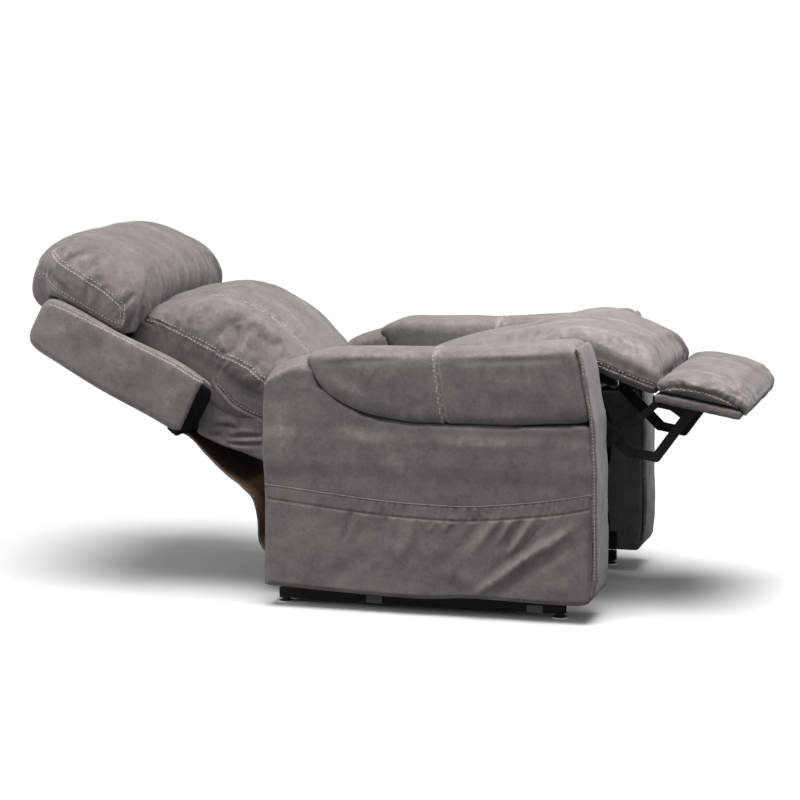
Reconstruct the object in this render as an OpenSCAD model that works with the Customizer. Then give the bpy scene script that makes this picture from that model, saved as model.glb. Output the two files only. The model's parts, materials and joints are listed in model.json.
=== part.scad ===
// Lift recliner chair, standing on its floor glides, in the lying pose with the leg rest out.
// Millimetres. +Z is up, -Y is the way the sitter faces, and X is the width.
// Side-view points are [forward, up]: forward is measured ahead of the front glides.

/* [Overall] */
// Width over the two arms
overall_w = 820; // [800:5:840]
// Width of one arm, from its inner face to its outer face
arm_w = 148; // [140:2:156]
// Height of the crest of the arms
arm_top_z = 690; // [680:2:700]
// Height of the underside of the arms
arm_bottom_z = 52; // [46:1:56]
// Clearance between a soft piece and its neighbour
soft_gap = 0.6; // [0.4:0.1:1]

/* [Base frame] */
// Distance between the front and the rear glides
glide_pitch = 706; // [690:2:720]
// Distance from the outer face of an arm in to the middle of its glides
glide_inset = 79; // [75:1:85]
// Diameter of a glide
glide_d = 38; // [30:1:44]
// Height of a glide, from the floor to the rail
glide_h = 12; // [8:1:14]
// Side of the square base tube
base_tube = 25; // [20:1:28]
// Wall of every steel tube
tube_wall = 2; // [1.5:0.5:3]

/* [Steel plates] */
// Thickness of the heavy link plates
plate_t = 6; // [5:0.5:6]
// Thickness of the light leg rest links
light_t = 4; // [3:0.5:4]
// Width of a heavy link
link_w = 30; // [26:1:32]
// Width of a leg rest link
legrest_link_w = 24; // [20:1:26]
// Radius of the heavy pivot pins
pin_r = 6; // [5:0.5:6.5]
// Radius of the leg rest pins
light_pin_r = 5; // [4:0.5:5.5]
// Radius of the torque tubes
torque_r = 12; // [10:0.5:13]
// Radial clearance of a running pin
run_gap = 0.08; // [0.05:0.01:0.1]

/* [Chassis] */
// Width of a chassis rail
rail_w = 20; // [16:1:22]
// Height of a chassis rail
rail_h = 45; // [40:1:50]
// Height of the cross tubes on the chassis rails
cross_h = 25; // [20:1:28]
// Depth of the cross tubes on the chassis rails
cross_d = 30; // [24:1:32]

/* [Seat] */
// Slope of the seat in the lying pose
seat_slope = 20; // [20:0.1:20.4]
// Clearance between the seat cushion and an arm
seat_side_gap = 14; // [10:1:19]
// Thickness of the deck boards
board_t = 18; // [15:1:20]
// Width of a deck board
board_w = 60; // [50:2:70]
// Number of webbing straps
strap_count = 5; // [4:1:6]
// Width of a webbing strap
strap_w = 50; // [40:2:60]

/* [Backrest] */
// Elevation of the backrest above the level in the lying pose
back_elev = 28; // [27.8:0.1:28.2]
// Distance from the outer face of an arm in to the outer face of a wing
wing_inset = 20; // [15:1:25]
// Clearance between the lumbar cushion and a wing
lumbar_side_gap = 5; // [3:1:12]
// Distance from the outer face of an arm in to the end of the head pillow
pillow_inset = 67; // [60:1:75]
// Length of the backrest from its pivot to the top of the wings
back_len = 722; // [715:1:730]
// Clearance between the lower part of the backrest and an arm
back_side_gap = 12; // [10:1:17]

/* [Leg rest] */
// Distance from the plane of an arm's inner face in to the side of the foot pad
foot_side_gap = 6; // [4:1:12]
// Thickness of the foot board
foot_board_t = 15; // [12:1:16]
// Length of the foot board
foot_board_len = 213; // [205:1:216]
// Height of the crown of the foot pad above its board
foot_crown = 46; // [40:1:52]

/* [Actuators] */
// Radius of an actuator's outer tube
actuator_r = 18; // [16:0.5:19]
// Radius of an actuator's rod
rod_r = 8; // [7:0.5:8.5]
// Radius of an actuator's motor
motor_r = 21; // [18:0.5:22]
// Width of the eyes at both ends of an actuator
eye_t = 16; // [14:0.5:18]
// Distance of the leg rest and backrest actuators from the middle
actuator_x = 70; // [66:1:76]

/* [Pockets and handset] */
// Depth inside the right pocket
pocket_right_gap = 8; // [7:0.5:10]
// Depth inside the left pocket
pocket_left_gap = 20; // [19.5:0.5:22]
// Thickness of the pocket cloth
cloth_t = 3; // [2:0.5:3.5]
// Width of the sewn border of a pocket
pocket_border = 12; // [8:1:16]
// Height of a pocket's top edge above the arm's underside
pocket_h = 230; // [220:2:236]
// Length of the handset
handset_len = 165; // [155:1:175]
// Width of the handset
handset_w = 52; // [46:1:56]
// Thickness of the handset
handset_t = 15; // [13:0.5:16]
// Diameter of a push button
button_d = 13; // [10:0.5:15]
// Height of a button above the face of the handset
button_rise = 2; // [1.5:0.1:2.4]

/* [Hidden] */
$fn = 48;

mid_f = -506;               // forward position of the frame's origin
eps = 0.01;

// Places of the pivots in the side view
lift_front_base = [-80, 62];
lift_rear_base = [-144.9, 70.1];
lift_front_top = [-459.1, 88.5];
lift_rear_top = [-680, 110];
lift_motor_pivot = [-620, 160];
lift_lever_end = [-427.8, 265.8];
seat_pivot = [-660, 330];
back_pivot = [-700, 385];
recline_motor_pivot = [-300, 140];
recline_lever_end = [-725, 341.7];
tilt_back_pivot = [-745.3, 406.1];
tilt_seat_pivot = [-498.6, 350.9];
main_arm_pivot = [-10, 558];
bent_link_pivot = [148, 402];
bent_knee = [213, 390];
bent_link_end = [297, 508];
rear_arm_pivot = [-50, 535];
thin_link_pivot = [22.3, 357.9];
thin_link_end = [211, 522];
legrest_motor_pivot = [-440, 341.5];
legrest_lever_end = [46.4, 537.5];

// Clearances round the open pivots, over the error of their linkages
open_rear_link = 1.5;
open_tilt_link = 2.8;
open_bent_link = 4.1;
open_thin_link = 0.7;
open_lift_rod = 2.5;
open_recline_rod = 4.6;
open_legrest_rod = 1.3;
legrest_slot = [2.6, -9.6];               // the slot's far end in the rod's own axes

// Lateral planes of the mechanism, from the middle outwards
side_gap = 2;                                   // between neighbouring plates
arm_inner_x = overall_w / 2 - arm_w;
arm_core_x = overall_w / 2 - 14;                // the arm's side under the bulge of its pad
seat_rail_x = arm_inner_x - 62;                 // inner face of the seat rails
footrest_x = seat_rail_x - side_gap - plate_t;  // inner face of the footrest brackets
bent_x = seat_rail_x + plate_t + side_gap;      // inner face of the bent links and of the side plates
main_arm_x = bent_x + light_t + side_gap;
thin_x = main_arm_x + light_t + 1 + side_gap;
rear_arm_x = thin_x + light_t + side_gap;
rail_out_x = bent_x;                            // outer face of the chassis rails
back_plate_x = bent_x + plate_t + 4;
tilt_x = back_plate_x + plate_t + side_gap;
front_link_x = back_plate_x + side_gap;
rear_link_x = front_link_x + plate_t + 4;
base_bracket_x = rear_link_x + plate_t + 4;

// Widths between the arms and over the backrest
glide_span = overall_w - 2 * glide_inset;
seat_w = 2 * (arm_inner_x - seat_side_gap);
wing_span = overall_w - 2 * wing_inset;
lumbar_w = 2 * (arm_inner_x - lumbar_side_gap);
pillow_w = overall_w - 2 * pillow_inset;
back_low_w = 2 * (arm_inner_x - back_side_gap);
foot_pad_w = 2 * (arm_inner_x - foot_side_gap);

// Frames of the seat, the backrest and the leg rest in the side view
seat_u = [cos(seat_slope), sin(seat_slope)];
seat_n = [-sin(seat_slope), cos(seat_slope)];
back_u = [-cos(back_elev), sin(back_elev)];
back_v = [sin(back_elev), cos(back_elev)];
legrest_fall = 10;
legrest_root = [-40, 565];
legrest_w = [cos(legrest_fall), -sin(legrest_fall)];
legrest_n = [sin(legrest_fall), cos(legrest_fall)];

rail_bottom_z = 70;
rail_top_z = rail_bottom_z + rail_h;
rail_rear_f = -740;
rail_front_f = 40;
rail_in_x = rail_out_x - rail_w;
front_cross_f = -30;
rear_cross_f = rail_rear_f + cross_d / 2;
low_cross_z = rail_bottom_z + 4;               // underside of the tubes between and beside the rails
base_top_z = glide_h + base_tube;
base_front_cross_f = -110;
base_rear_cross_f = -690;
base_rail_x = glide_span / 2;

rail_n0 = -18;                                  // underside of a seat rail in the seat's frame
rail_n1 = 26.5;                                 // its top, under the deck boards
deck_n = rail_n1 + board_t;
seat_rail_len = (main_arm_pivot - seat_pivot) * seat_u + 17.2;   // it ends just ahead of the main arm
deck_start = 86;                                // the deck's rear edge ahead of the seat pivot
strap_t = 2;
chaise_end = [216.4, 584];                      // front end of the chaise pad
foot_board_w0 = (chaise_end - legrest_root) * legrest_w + 5.8;   // start of the foot board
foot_board_n0 = 20;
foot_board_n1 = foot_board_n0 + foot_board_t;

arm_t = light_t + 1;                            // thickness of the leg rest's main arms
head_t = 2;                                     // a pin's head
head_rim = 3;
head_gap = 0.3;
weld_gap = 0.2;                                 // round a tube that passes through a plate
base_end = 14;                                  // a base rail beyond the middle of its glides
anchor_t = 3;
anchor_len = 40;
rod_rim = 5;                                    // metal round the bore in a rod's eye
gear_start = 24;                                // from an actuator's pivot to its gear housing
gear_len = 30;
motor_len = 84;
lift_tube_len = 150;
lift_rod_start = 60;
recline_tube_len = 300;
recline_rod_start = 200;
legrest_tube_len = 330;
legrest_rod_start = 156;
arm_rear_f = -732;
arm_seam_z = 467;                               // lowest point of the seam under the arm pads
post_v0 = -84;                                  // rear and front faces of the back posts
post_v1 = -50;
post_top = 700;
seat_cross_u = [92, 192, 560];
handset_f = -40;
handset_z = 165;
button_pitch = 20;
button_top = 24;                                // from the top of the handset to the first row
button_well = 8;
button_travel = 1.2;
button_gap = 0.3;

function seat_at(u, n) = seat_pivot + u * seat_u + n * seat_n;
function back_at(u, v) = back_pivot + u * back_u + v * back_v;
function rest_at(w, n) = legrest_root + w * legrest_w + n * legrest_n;
function seat_pts(list) = [for (p = list) seat_at(p.x, p.y)];
function back_pts(list) = [for (p = list) back_at(p.x, p.y)];
function rest_pts(list) = [for (p = list) rest_at(p.x, p.y)];
function angle_to(a, b) = atan2(b.y - a.y, b.x - a.x);

// Rounds every corner of a closed outline with a radius, in three steps
function rounded(list, r, steps = 3) = [
    for (i = [0 : len(list) - 1])
        let (p = list[i], before = list[(i + len(list) - 1) % len(list)], after = list[(i + 1) % len(list)],
             d0 = (before - p) / norm(before - p), d1 = (after - p) / norm(after - p),
             half = acos(max(-1, min(1, d0 * d1))) / 2, cut = min(r / tan(half), norm(before - p) * 0.45,
             norm(after - p) * 0.45))
            for (k = [0 : steps]) let (t = k / steps)
                (1 - t) * (1 - t) * (p + d0 * cut) + 2 * t * (1 - t) * p + t * t * (p + d1 * cut)];

// Smooth curve through a list of equal vectors
function blend4(a, b, c, d, t) = 0.5 * (2 * b + (c - a) * t + (2 * a - 5 * b + 4 * c - d) * t * t
    + (3 * b - a - 3 * c + d) * t * t * t);
function curve(list, steps) = [
    for (i = [0 : len(list) - 2]) for (k = [0 : steps - 1])
        blend4(list[max(i - 1, 0)], list[i], list[i + 1], list[min(i + 2, len(list) - 1)], k / steps),
    list[len(list) - 1]];

// A side-view outline as a slab between two lateral planes
module slab(x0, x1) translate([x1, mid_f, 0]) rotate([90, 0, -90]) linear_extrude(x1 - x0) children();
module both_sides() {
    children();
    mirror([1, 0, 0]) children();
}
module pin(p, r, x0, x1) slab(x0, x1) translate(p) circle(r);
// Flat bars with rounded ends, and round bosses, as outlines with ten or more facets to an end
function arc(p, r, from, to, steps) = [for (k = [0 : steps]) p + r * [cos(from + (to - from) * k / steps),
    sin(from + (to - from) * k / steps)]];
module bar(a, b, w) {
    t = angle_to(a, b);
    polygon(concat(arc(a, w / 2, t + 90, t + 270, 10), arc(b, w / 2, t - 90, t + 90, 10)));
}
module boss(p, r) polygon(arc(p, r, 7, 352, 23));
// A link plate through a list of points, bored at its two ends
module link(list, w, bore0, bore1, x0, t) slab(x0, x0 + t) difference() {
    for (i = [0 : len(list) - 2]) bar(list[i], list[i + 1], w);
    if (bore0 > 0) translate(list[0]) circle(bore0);
    if (bore1 > 0) translate(list[len(list) - 1]) circle(bore1);
}
// Square tubes along the length and across the width
module tube_along(x0, x1, f0, f1, z0, z1) translate([x0, -f1 + mid_f, z0]) difference() {
    cube([x1 - x0, f1 - f0, z1 - z0]);
    translate([tube_wall, -1, tube_wall]) cube([x1 - x0 - 2 * tube_wall, f1 - f0 + 2, z1 - z0 - 2 * tube_wall]);
}
module tube_across(half, f0, f1, z0, z1) translate([-half, -f1 + mid_f, z0]) difference() {
    cube([2 * half, f1 - f0, z1 - z0]);
    translate([-1, tube_wall, tube_wall]) cube([2 * half + 2, f1 - f0 - 2 * tube_wall, z1 - z0 - 2 * tube_wall]);
}

// A stuffed form: rings of a squared ellipse between an under curve and an upper curve.
// A station is [under forward, under up, upper forward, upper up, half width].
function squared(c, e) = sign(c) * pow(abs(c), e);
function form_ring(s, sides, e, x_mid) = [
    for (j = [0 : sides - 1])
        let (a = 360 * (j + 0.5) / sides, h = 0.5 + 0.5 * squared(sin(a), e))
            [x_mid + s[4] * squared(cos(a), e),
             -(s[0] + (s[2] - s[0]) * h) + mid_f,
             s[1] + (s[3] - s[1]) * h]];
module form(stations, steps, sides, e = 0.6, x_mid = 0) {
    rings = curve(stations, steps);
    points = [for (s = rings) each form_ring(s, sides, e, x_mid)];
    last = (len(rings) - 1) * sides;
    faces = [
        for (i = [0 : len(rings) - 2]) for (j = [0 : sides - 1])
            let (a = i * sides + j, b = i * sides + (j + 1) % sides)
                each [[a, b, a + sides], [b, b + sides, a + sides]],
        for (j = [1 : sides - 2]) [0, j + 1, j],
        for (j = [1 : sides - 2]) [last, last + j, last + j + 1]];
    polyhedron(points, faces);
}
function station(under, upper, half) = [under.x, under.y, upper.x, upper.y, half];

// ---------- base frame
module base_side_rails() color([0.1, 0.1, 0.11]) both_sides()
    tube_along(base_rail_x - base_tube / 2, base_rail_x + base_tube / 2,
        -glide_pitch - base_end, base_end, glide_h, base_top_z);

module base_cross_tubes() color([0.1, 0.1, 0.11]) for (f = [base_front_cross_f, base_rear_cross_f])
    tube_across(base_rail_x - base_tube / 2, f - cross_d / 2, f + cross_d / 2, glide_h, base_top_z);

module headed_pin(p, r, x_head, x_root) {
    pin(p, r, x_head - head_gap, x_root + eps);
    pin(p, r + head_rim, x_head - head_gap - head_t, x_head - head_gap);
}

module base_pivot_brackets() color([0.12, 0.12, 0.13]) both_sides() {
    slab(base_bracket_x, base_bracket_x + plate_t) {
        bar(lift_rear_base, lift_front_base, link_w);
        translate([lift_rear_base.x, base_top_z])
            square([lift_front_base.x - lift_rear_base.x, lift_front_base.y - base_top_z]);
    }
    headed_pin(lift_front_base, pin_r, front_link_x, base_bracket_x);
    headed_pin(lift_rear_base, pin_r, rear_link_x, base_bracket_x);
}

module base_anchor_plates() color([0.55, 0.56, 0.58]) both_sides()
    for (f = [-471, -60]) translate([base_rail_x + base_tube / 2, -f + mid_f - anchor_len / 2, glide_h])
        cube([anchor_t, anchor_len, base_tube - 6]);

module floor_glides() color([0.85, 0.86, 0.87]) for (f = [0, -glide_pitch]) both_sides()
    translate([base_rail_x, -f + mid_f, 0]) {
        cylinder(h = glide_h * 0.3, d = glide_d);
        translate([0, 0, glide_h * 0.3]) cylinder(h = glide_h * 0.3, d1 = glide_d, d2 = glide_d * 0.6);
        translate([0, 0, glide_h * 0.6]) cylinder(h = glide_h * 0.4, d = glide_d * 0.45);
    }

// ---------- lift linkage
module lift_front_links() color([0.12, 0.12, 0.13]) both_sides()
    link([lift_front_base, lift_front_top], link_w, pin_r + run_gap, 0, front_link_x, plate_t);

module lift_rear_links() color([0.12, 0.12, 0.13]) both_sides()
    link([lift_rear_base, lift_rear_top], link_w, pin_r + run_gap, pin_r + open_rear_link, rear_link_x, plate_t);

// Two lever plates from a torque tube to a pin that holds an actuator's eye
module lever(root, tip, x_mid, w) {
    for (side = [-1, 1]) {
        x = x_mid + side * (eye_t / 2 + 1 + plate_t / 2);
        slab(x - plate_t / 2, x + plate_t / 2) difference() {
            bar(root, tip, w);
            translate(root) circle(torque_r - tube_wall);
        }
    }
    pin(tip, pin_r, x_mid - eye_t / 2 - 1 - plate_t, x_mid + eye_t / 2 + 1 + plate_t);
}
module torque_tube(p, half) slab(-half, half) translate(p) difference() {
    circle(torque_r);
    circle(torque_r - tube_wall);
}

module lift_torque_tube() color([0.14, 0.14, 0.15]) {
    torque_tube(lift_front_top, front_link_x);
    lever(lift_front_top, lift_lever_end, 0, link_w);
}

// An actuator's body and rod along the line from its pivot to the lever
module along_line(a, b, x_mid) translate([x_mid, -a.x + mid_f, a.y]) rotate([0, -angle_to(a, b), -90]) children();
module actuator_body(a, b, x_mid, len, bore_start, side) along_line(a, b, x_mid) {
    difference() {
        union() {
            rotate([90, 0, 0]) cylinder(h = eye_t, r = actuator_r, center = true);
            translate([0, -eye_t / 2, -actuator_r]) cube([gear_start, eye_t, 2 * actuator_r]);
        }
        rotate([90, 0, 0]) cylinder(h = eye_t + 2, r = pin_r + run_gap, center = true);
    }
    hull_depth = actuator_r + 2;
    translate([gear_start, 0, 0]) {
        for (y = [0, side * (actuator_r + motor_r + 3)])
            rotate([0, 90, 0]) translate([0, y, 0]) cylinder(h = gear_len, r = hull_depth);
        translate([0, min(0, side * (actuator_r + motor_r + 3)), -hull_depth])
            cube([gear_len, actuator_r + motor_r + 3, 2 * hull_depth]);
        rotate([0, 90, 0]) translate([0, side * (actuator_r + motor_r + 3), gear_len]) {
            cylinder(h = motor_len, r = motor_r);
            translate([0, 0, motor_len]) cylinder(h = 8, r1 = motor_r, r2 = motor_r * 0.7);
        }
    }
    difference() {
        translate([gear_start, 0, 0]) rotate([0, 90, 0]) cylinder(h = len - gear_start, r = actuator_r);
        translate([bore_start, 0, 0]) rotate([0, 90, 0]) cylinder(h = len, r = rod_r + run_gap);
    }
}
module actuator_rod(a, b, x_mid, start, bore, slot = [0, 0]) along_line(a, b, x_mid) {
    reach = norm(b - a);
    rim = bore + rod_rim;
    translate([start, 0, 0]) rotate([0, 90, 0]) cylinder(h = reach - rim + 2 - start, r = rod_r);
    translate([reach, 0, 0]) rotate([90, 0, 0]) linear_extrude(eye_t - 2, center = true) difference() {
        union() {
            bar([0, 0], slot + [eps, 0], 2 * rim);
            translate([-rim, -rod_r]) square([rim, 2 * rod_r]);
        }
        bar([0, 0], slot + [eps, 0], 2 * bore);
    }
}

module lift_motor() color([0.2, 0.2, 0.21])
    actuator_body(lift_motor_pivot, lift_lever_end, 0, lift_tube_len, lift_rod_start - 6, 1);
module lift_rod() color([0.75, 0.76, 0.78])
    actuator_rod(lift_motor_pivot, lift_lever_end, 0, lift_rod_start, pin_r + open_lift_rod);

// ---------- chassis
module chassis_side_rails() color([0.12, 0.12, 0.13]) both_sides() difference() {
    tube_along(rail_in_x, rail_out_x, rail_rear_f, rail_front_f, rail_bottom_z, rail_top_z);
    pin(lift_front_top, torque_r + run_gap, rail_in_x - 1, rail_out_x + 1);
}

module clevis(p, x_mid, foot_z) {
    for (side = [-1, 1]) {
        x = x_mid + side * (eye_t / 2 + 1 + plate_t / 2);
        slab(x - plate_t / 2, x + plate_t / 2) {
            boss(p, actuator_r);
            translate([p.x - cross_d / 2, foot_z]) square([cross_d, p.y - foot_z]);
        }
    }
    pin(p, pin_r, x_mid - eye_t / 2 - 1 - plate_t, x_mid + eye_t / 2 + 1 + plate_t);
}

module chassis_cross_tubes() color([0.12, 0.12, 0.13]) {
    tube_across(arm_inner_x, rear_cross_f - cross_d / 2, rear_cross_f + cross_d / 2, rail_top_z, rail_top_z + cross_h);
    for (f = [lift_motor_pivot.x, recline_motor_pivot.x, front_cross_f])
        tube_across(rail_in_x, f - cross_d / 2, f + cross_d / 2, low_cross_z, low_cross_z + cross_h);
    both_sides() translate([(rail_out_x + arm_inner_x) / 2, 0, 0])
        tube_across((arm_inner_x - rail_out_x) / 2, front_cross_f - cross_d / 2, front_cross_f + cross_d / 2,
            low_cross_z, low_cross_z + cross_h);
    clevis(lift_motor_pivot, 0, low_cross_z + cross_h);
    clevis(recline_motor_pivot, -actuator_x, low_cross_z + cross_h);
}

module mechanism_side_plates() color([0.12, 0.12, 0.13]) both_sides() {
    slab(bent_x, bent_x + plate_t) difference() {
        polygon(rounded([[rail_rear_f, rail_bottom_z + 2], [-592, rail_bottom_z + 2], [-600, 180],
            [seat_pivot.x + 34, seat_pivot.y + 10], [seat_pivot.x + 14, seat_pivot.y + 42],
            [back_pivot.x + 26, back_pivot.y + 34], [back_pivot.x - 34, back_pivot.y + 30],
            [back_pivot.x - 46, back_pivot.y - 60], [rail_rear_f, 200]], 22));
        translate(back_pivot) circle(torque_r + run_gap);
        translate([-668, 232]) circle(26);
        translate([rear_cross_f - cross_d, rail_top_z - weld_gap])
            square([1.5 * cross_d + weld_gap, cross_h + 2 * weld_gap]);
    }
    pin(lift_rear_top, pin_r, bent_x + plate_t - eps, rear_link_x + plate_t + head_gap);
    pin(lift_rear_top, pin_r + head_rim, rear_link_x + plate_t + head_gap, rear_link_x + plate_t + head_gap + head_t);
    pin(lift_rear_top, pin_r + open_rear_link + 2, bent_x + plate_t - eps, rear_link_x - head_gap);
    headed_pin(seat_pivot, pin_r, seat_rail_x, bent_x);
}

module control_box() color([0.16, 0.16, 0.17]) {
    z = low_cross_z + cross_h;
    translate([seat_rail_x - 100, -lift_motor_pivot.x + mid_f - 60, z]) difference() {
        cube([72, 88, 40]);
        translate([-1, 20, 12]) cube([13, 24, 16]);
        for (i = [0 : 2]) translate([-1, 56 + i * 9, 20]) rotate([0, 90, 0]) cylinder(h = 9, r = 3.2);
    }
}

// ---------- arms
arm_side = [[arm_rear_f, arm_bottom_z], [arm_rear_f - 2, 563], [-655, 624.6], [-616, 602.5], [-610, 580],
    [-600, 563], [-568, 533], [-529, 504], [-486, 483], [-440, 471], [-387, arm_seam_z], [-211, 465],
    [-87, 471], [82, 489], [114, 489], [119, 470], [129, 314], [125, 167], [109, 79], [85, arm_bottom_z]];
module arm_body(side) color([0.42, 0.38, 0.36]) scale_x(side) slab(arm_inner_x, arm_core_x)
    polygon(rounded(arm_side, 10, 2));
module scale_x(side) mirror([side < 0 ? 1 : 0, 0, 0]) children();
module arm_right() arm_body(-1);
module arm_left() arm_body(1);

module arm_pad(side) color([0.47, 0.43, 0.4]) {
    half = arm_w / 2;
    lift = [0, arm_top_z - 690];
    form([
        station([-612, 604], [-640, 622] + lift, half - 22),
        station([-604, 578], [-622, 648] + lift, half - 6),
        station([-566, 535], [-566, 656] + lift, half),
        station([-486, 486], [-486, 661] + lift, half),
        station([-387, arm_seam_z + 4 * soft_gap], [-387, 668] + lift, half),
        station([-302, 466 + soft_gap], [-302, 672] + lift, half),
        station([-290, 466 + soft_gap], [-290, 669] + lift, half - 2),
        station([-278, 466 + soft_gap], [-278, 673] + lift, half),
        station([-120, 470 + soft_gap], [-120, 681] + lift, half),
        station([20, 484 + soft_gap], [15, 690] + lift, half),
        station([92, 491 + soft_gap], [62, 682] + lift, half - 1),
        station([116, 500], [84, 660] + lift, half - 8),
        station([119, 514], [98, 618] + lift, half - 24)], 3, 24, 0.42, side * (arm_inner_x + half));
}
module arm_pad_right() arm_pad(-1);
module arm_pad_left() arm_pad(1);

pocket_top = [[-728, 77], [-567, 65], [-439, 56], [-337, 48], [-211, 49], [-86, 61], [13, 78], [98, 96]];
module pocket(side, gap) color([0.4, 0.36, 0.34]) scale_x(side) {
    outer = concat([[98, arm_bottom_z + 20], [-728, arm_bottom_z + 4]],
        [for (p = pocket_top) [p.x, p.y + pocket_h]]);
    inner = concat([[98 - pocket_border, arm_bottom_z + 20 + pocket_border],
        [-728 + pocket_border, arm_bottom_z + 4 + pocket_border]],
        [for (p = pocket_top) [max(-728 + pocket_border, min(98 - pocket_border, p.x)), p.y + pocket_h + 40]]);
    difference() {
        slab(arm_core_x, arm_core_x + gap + cloth_t) polygon(outer);
        slab(arm_core_x - 1, arm_core_x + gap) polygon(inner);
    }
}
module pocket_right() pocket(-1, pocket_right_gap);
module pocket_left() pocket(1, pocket_left_gap);

// ---------- handset, hanging in the left pocket
module handset_body() color([0.18, 0.18, 0.19]) translate([arm_core_x, -handset_f + mid_f, handset_z]) {
    difference() {
        translate([0, -handset_w / 2, 0]) rotate([90, 0, 90]) linear_extrude(handset_t)
            polygon(rounded([[0, 0], [handset_w, 0], [handset_w, handset_len], [0, handset_len]], 12));
        for (row = [0 : 2]) for (column = [-1, 1])
            translate([handset_t - button_well, column * button_pitch / 2, handset_len - button_top - row * button_pitch])
                rotate([0, 90, 0]) cylinder(h = button_well + 1, d = button_d + 2 * button_gap);
    }
    translate([handset_t / 2, 0, -8]) cylinder(h = 8, r1 = 3, r2 = 5);
}
module push_button(row, column) color([0.62, 0.63, 0.65])
    translate([arm_core_x + handset_t - button_well + button_travel + button_gap, -handset_f + mid_f + column * button_pitch / 2,
        handset_z + handset_len - button_top - row * button_pitch]) rotate([0, 90, 0])
        cylinder(h = button_well - button_travel - button_gap + button_rise, d = button_d);
module button_raise() push_button(0, -1);
module button_lower() push_button(0, 1);
module button_back_up() push_button(1, -1);
module button_back_down() push_button(1, 1);
module button_legs_up() push_button(2, -1);
module button_legs_down() push_button(2, 1);

// ---------- seat
module seat_side_rails() color([0.12, 0.12, 0.13]) both_sides() {
    slab(seat_rail_x, seat_rail_x + plate_t) difference() {
        union() {
            polygon(seat_pts([[0, rail_n0], [600, rail_n0], [630, rail_n0 - 22], [seat_rail_len - 26, rail_n0 - 22],
                [seat_rail_len - 14, rail_n0 - 4], [seat_rail_len - 6, 4], [seat_rail_len - 6, rail_n1],
                [deck_start - 12, rail_n1], [20, 16], [0, 20]]));
            boss(seat_pivot, 21);
            boss(main_arm_pivot, torque_r + 5);
            bar(tilt_seat_pivot, tilt_seat_pivot + 24 * seat_n, 26);
        }
        translate(seat_pivot) circle(pin_r + run_gap);
        translate(main_arm_pivot) circle(torque_r + run_gap);
    }
    pin(rear_arm_pivot, light_pin_r, seat_rail_x + plate_t - eps, rear_arm_x + light_t + head_gap);
    pin(rear_arm_pivot, light_pin_r + head_rim, rear_arm_x + light_t + head_gap, rear_arm_x + light_t + head_gap + head_t);
    pin(tilt_seat_pivot, light_pin_r, seat_rail_x + plate_t - eps, tilt_x + light_t + head_gap);
    pin(tilt_seat_pivot, light_pin_r + head_rim, tilt_x + light_t + head_gap, tilt_x + light_t + head_gap + head_t);
}

module seat_cross_tubes() color([0.12, 0.12, 0.13]) {
    for (u = seat_cross_u) slab(-seat_rail_x, seat_rail_x) difference() {
        polygon(seat_pts([[u, -15], [u + cross_h, -15], [u + cross_h, -15 + cross_h], [u, -15 + cross_h]]));
        polygon(seat_pts([[u + tube_wall, -15 + tube_wall], [u + cross_h - tube_wall, -15 + tube_wall],
            [u + cross_h - tube_wall, -15 + cross_h - tube_wall], [u + tube_wall, -15 + cross_h - tube_wall]]));
    }
    for (side = [-1, 1]) {
        x = actuator_x + side * (eye_t / 2 + 1 + plate_t / 2);
        slab(x - plate_t / 2, x + plate_t / 2) {
            bar(legrest_motor_pivot, legrest_motor_pivot + 30 * seat_n, 2 * actuator_r - 10);
            polygon(seat_pts([[seat_cross_u[1], -15], [seat_cross_u[1] + cross_h, -15],
                [seat_cross_u[1] + cross_h, -50], [seat_cross_u[1] + 8, -50]]));
        }
    }
    pin(legrest_motor_pivot, pin_r, actuator_x - eye_t / 2 - 1 - plate_t, actuator_x + eye_t / 2 + 1 + plate_t);
}

module seat_side_boards() color([0.7, 0.55, 0.38]) both_sides() slab(seat_w / 2 - board_w, seat_w / 2)
    polygon(seat_pts([[deck_start, rail_n1], [seat_rail_len - 6, rail_n1], [seat_rail_len - 6, deck_n],
        [deck_start, deck_n]]));
module seat_end_boards() color([0.7, 0.55, 0.38]) for (u = [deck_start, seat_rail_len - 6 - board_w])
    slab(-seat_w / 2 + board_w, seat_w / 2 - board_w)
        polygon(seat_pts([[u, rail_n1], [u + board_w, rail_n1], [u + board_w, deck_n], [u, deck_n]]));
module seat_webbing() color([0.75, 0.7, 0.62]) for (i = [0 : strap_count - 1]) {
    room = seat_w - 2 * board_w - strap_w - 10;
    x = -room / 2 + i * room / max(1, strap_count - 1) - strap_w / 2;
    slab(x, x + strap_w) polygon(seat_pts([[deck_start + 15, deck_n], [seat_rail_len - 21, deck_n],
        [seat_rail_len - 21, deck_n + strap_t], [deck_start + 15, deck_n + strap_t]]));
}

module seat_cushion() color([0.45, 0.41, 0.38]) {
    half = seat_w / 2;
    b = deck_n + strap_t + soft_gap;
    form([
        station(seat_at(84, b + 6), [-598, 432], half - 46),
        station(seat_at(96, b + 1), [-588, 478], half - 22),
        station(seat_at(150, b), [-545, 524], half - 4),
        station(seat_at(240, b), [-465, 574], half),
        station(seat_at(350, b), [-368, 620], half),
        station(seat_at(460, b), [-270, 666], half),
        station(seat_at(550, b), [-176, 690], half),
        station(seat_at(seat_rail_len - 76, b + 0.3), [-92, 696], half),
        station(seat_at(seat_rail_len - 16, b + 1), [-28, 684], half),
        station(seat_at(seat_rail_len, b + 14), [-2, 650], half - 8)], 3, 28, 0.5, 0);
}

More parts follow.
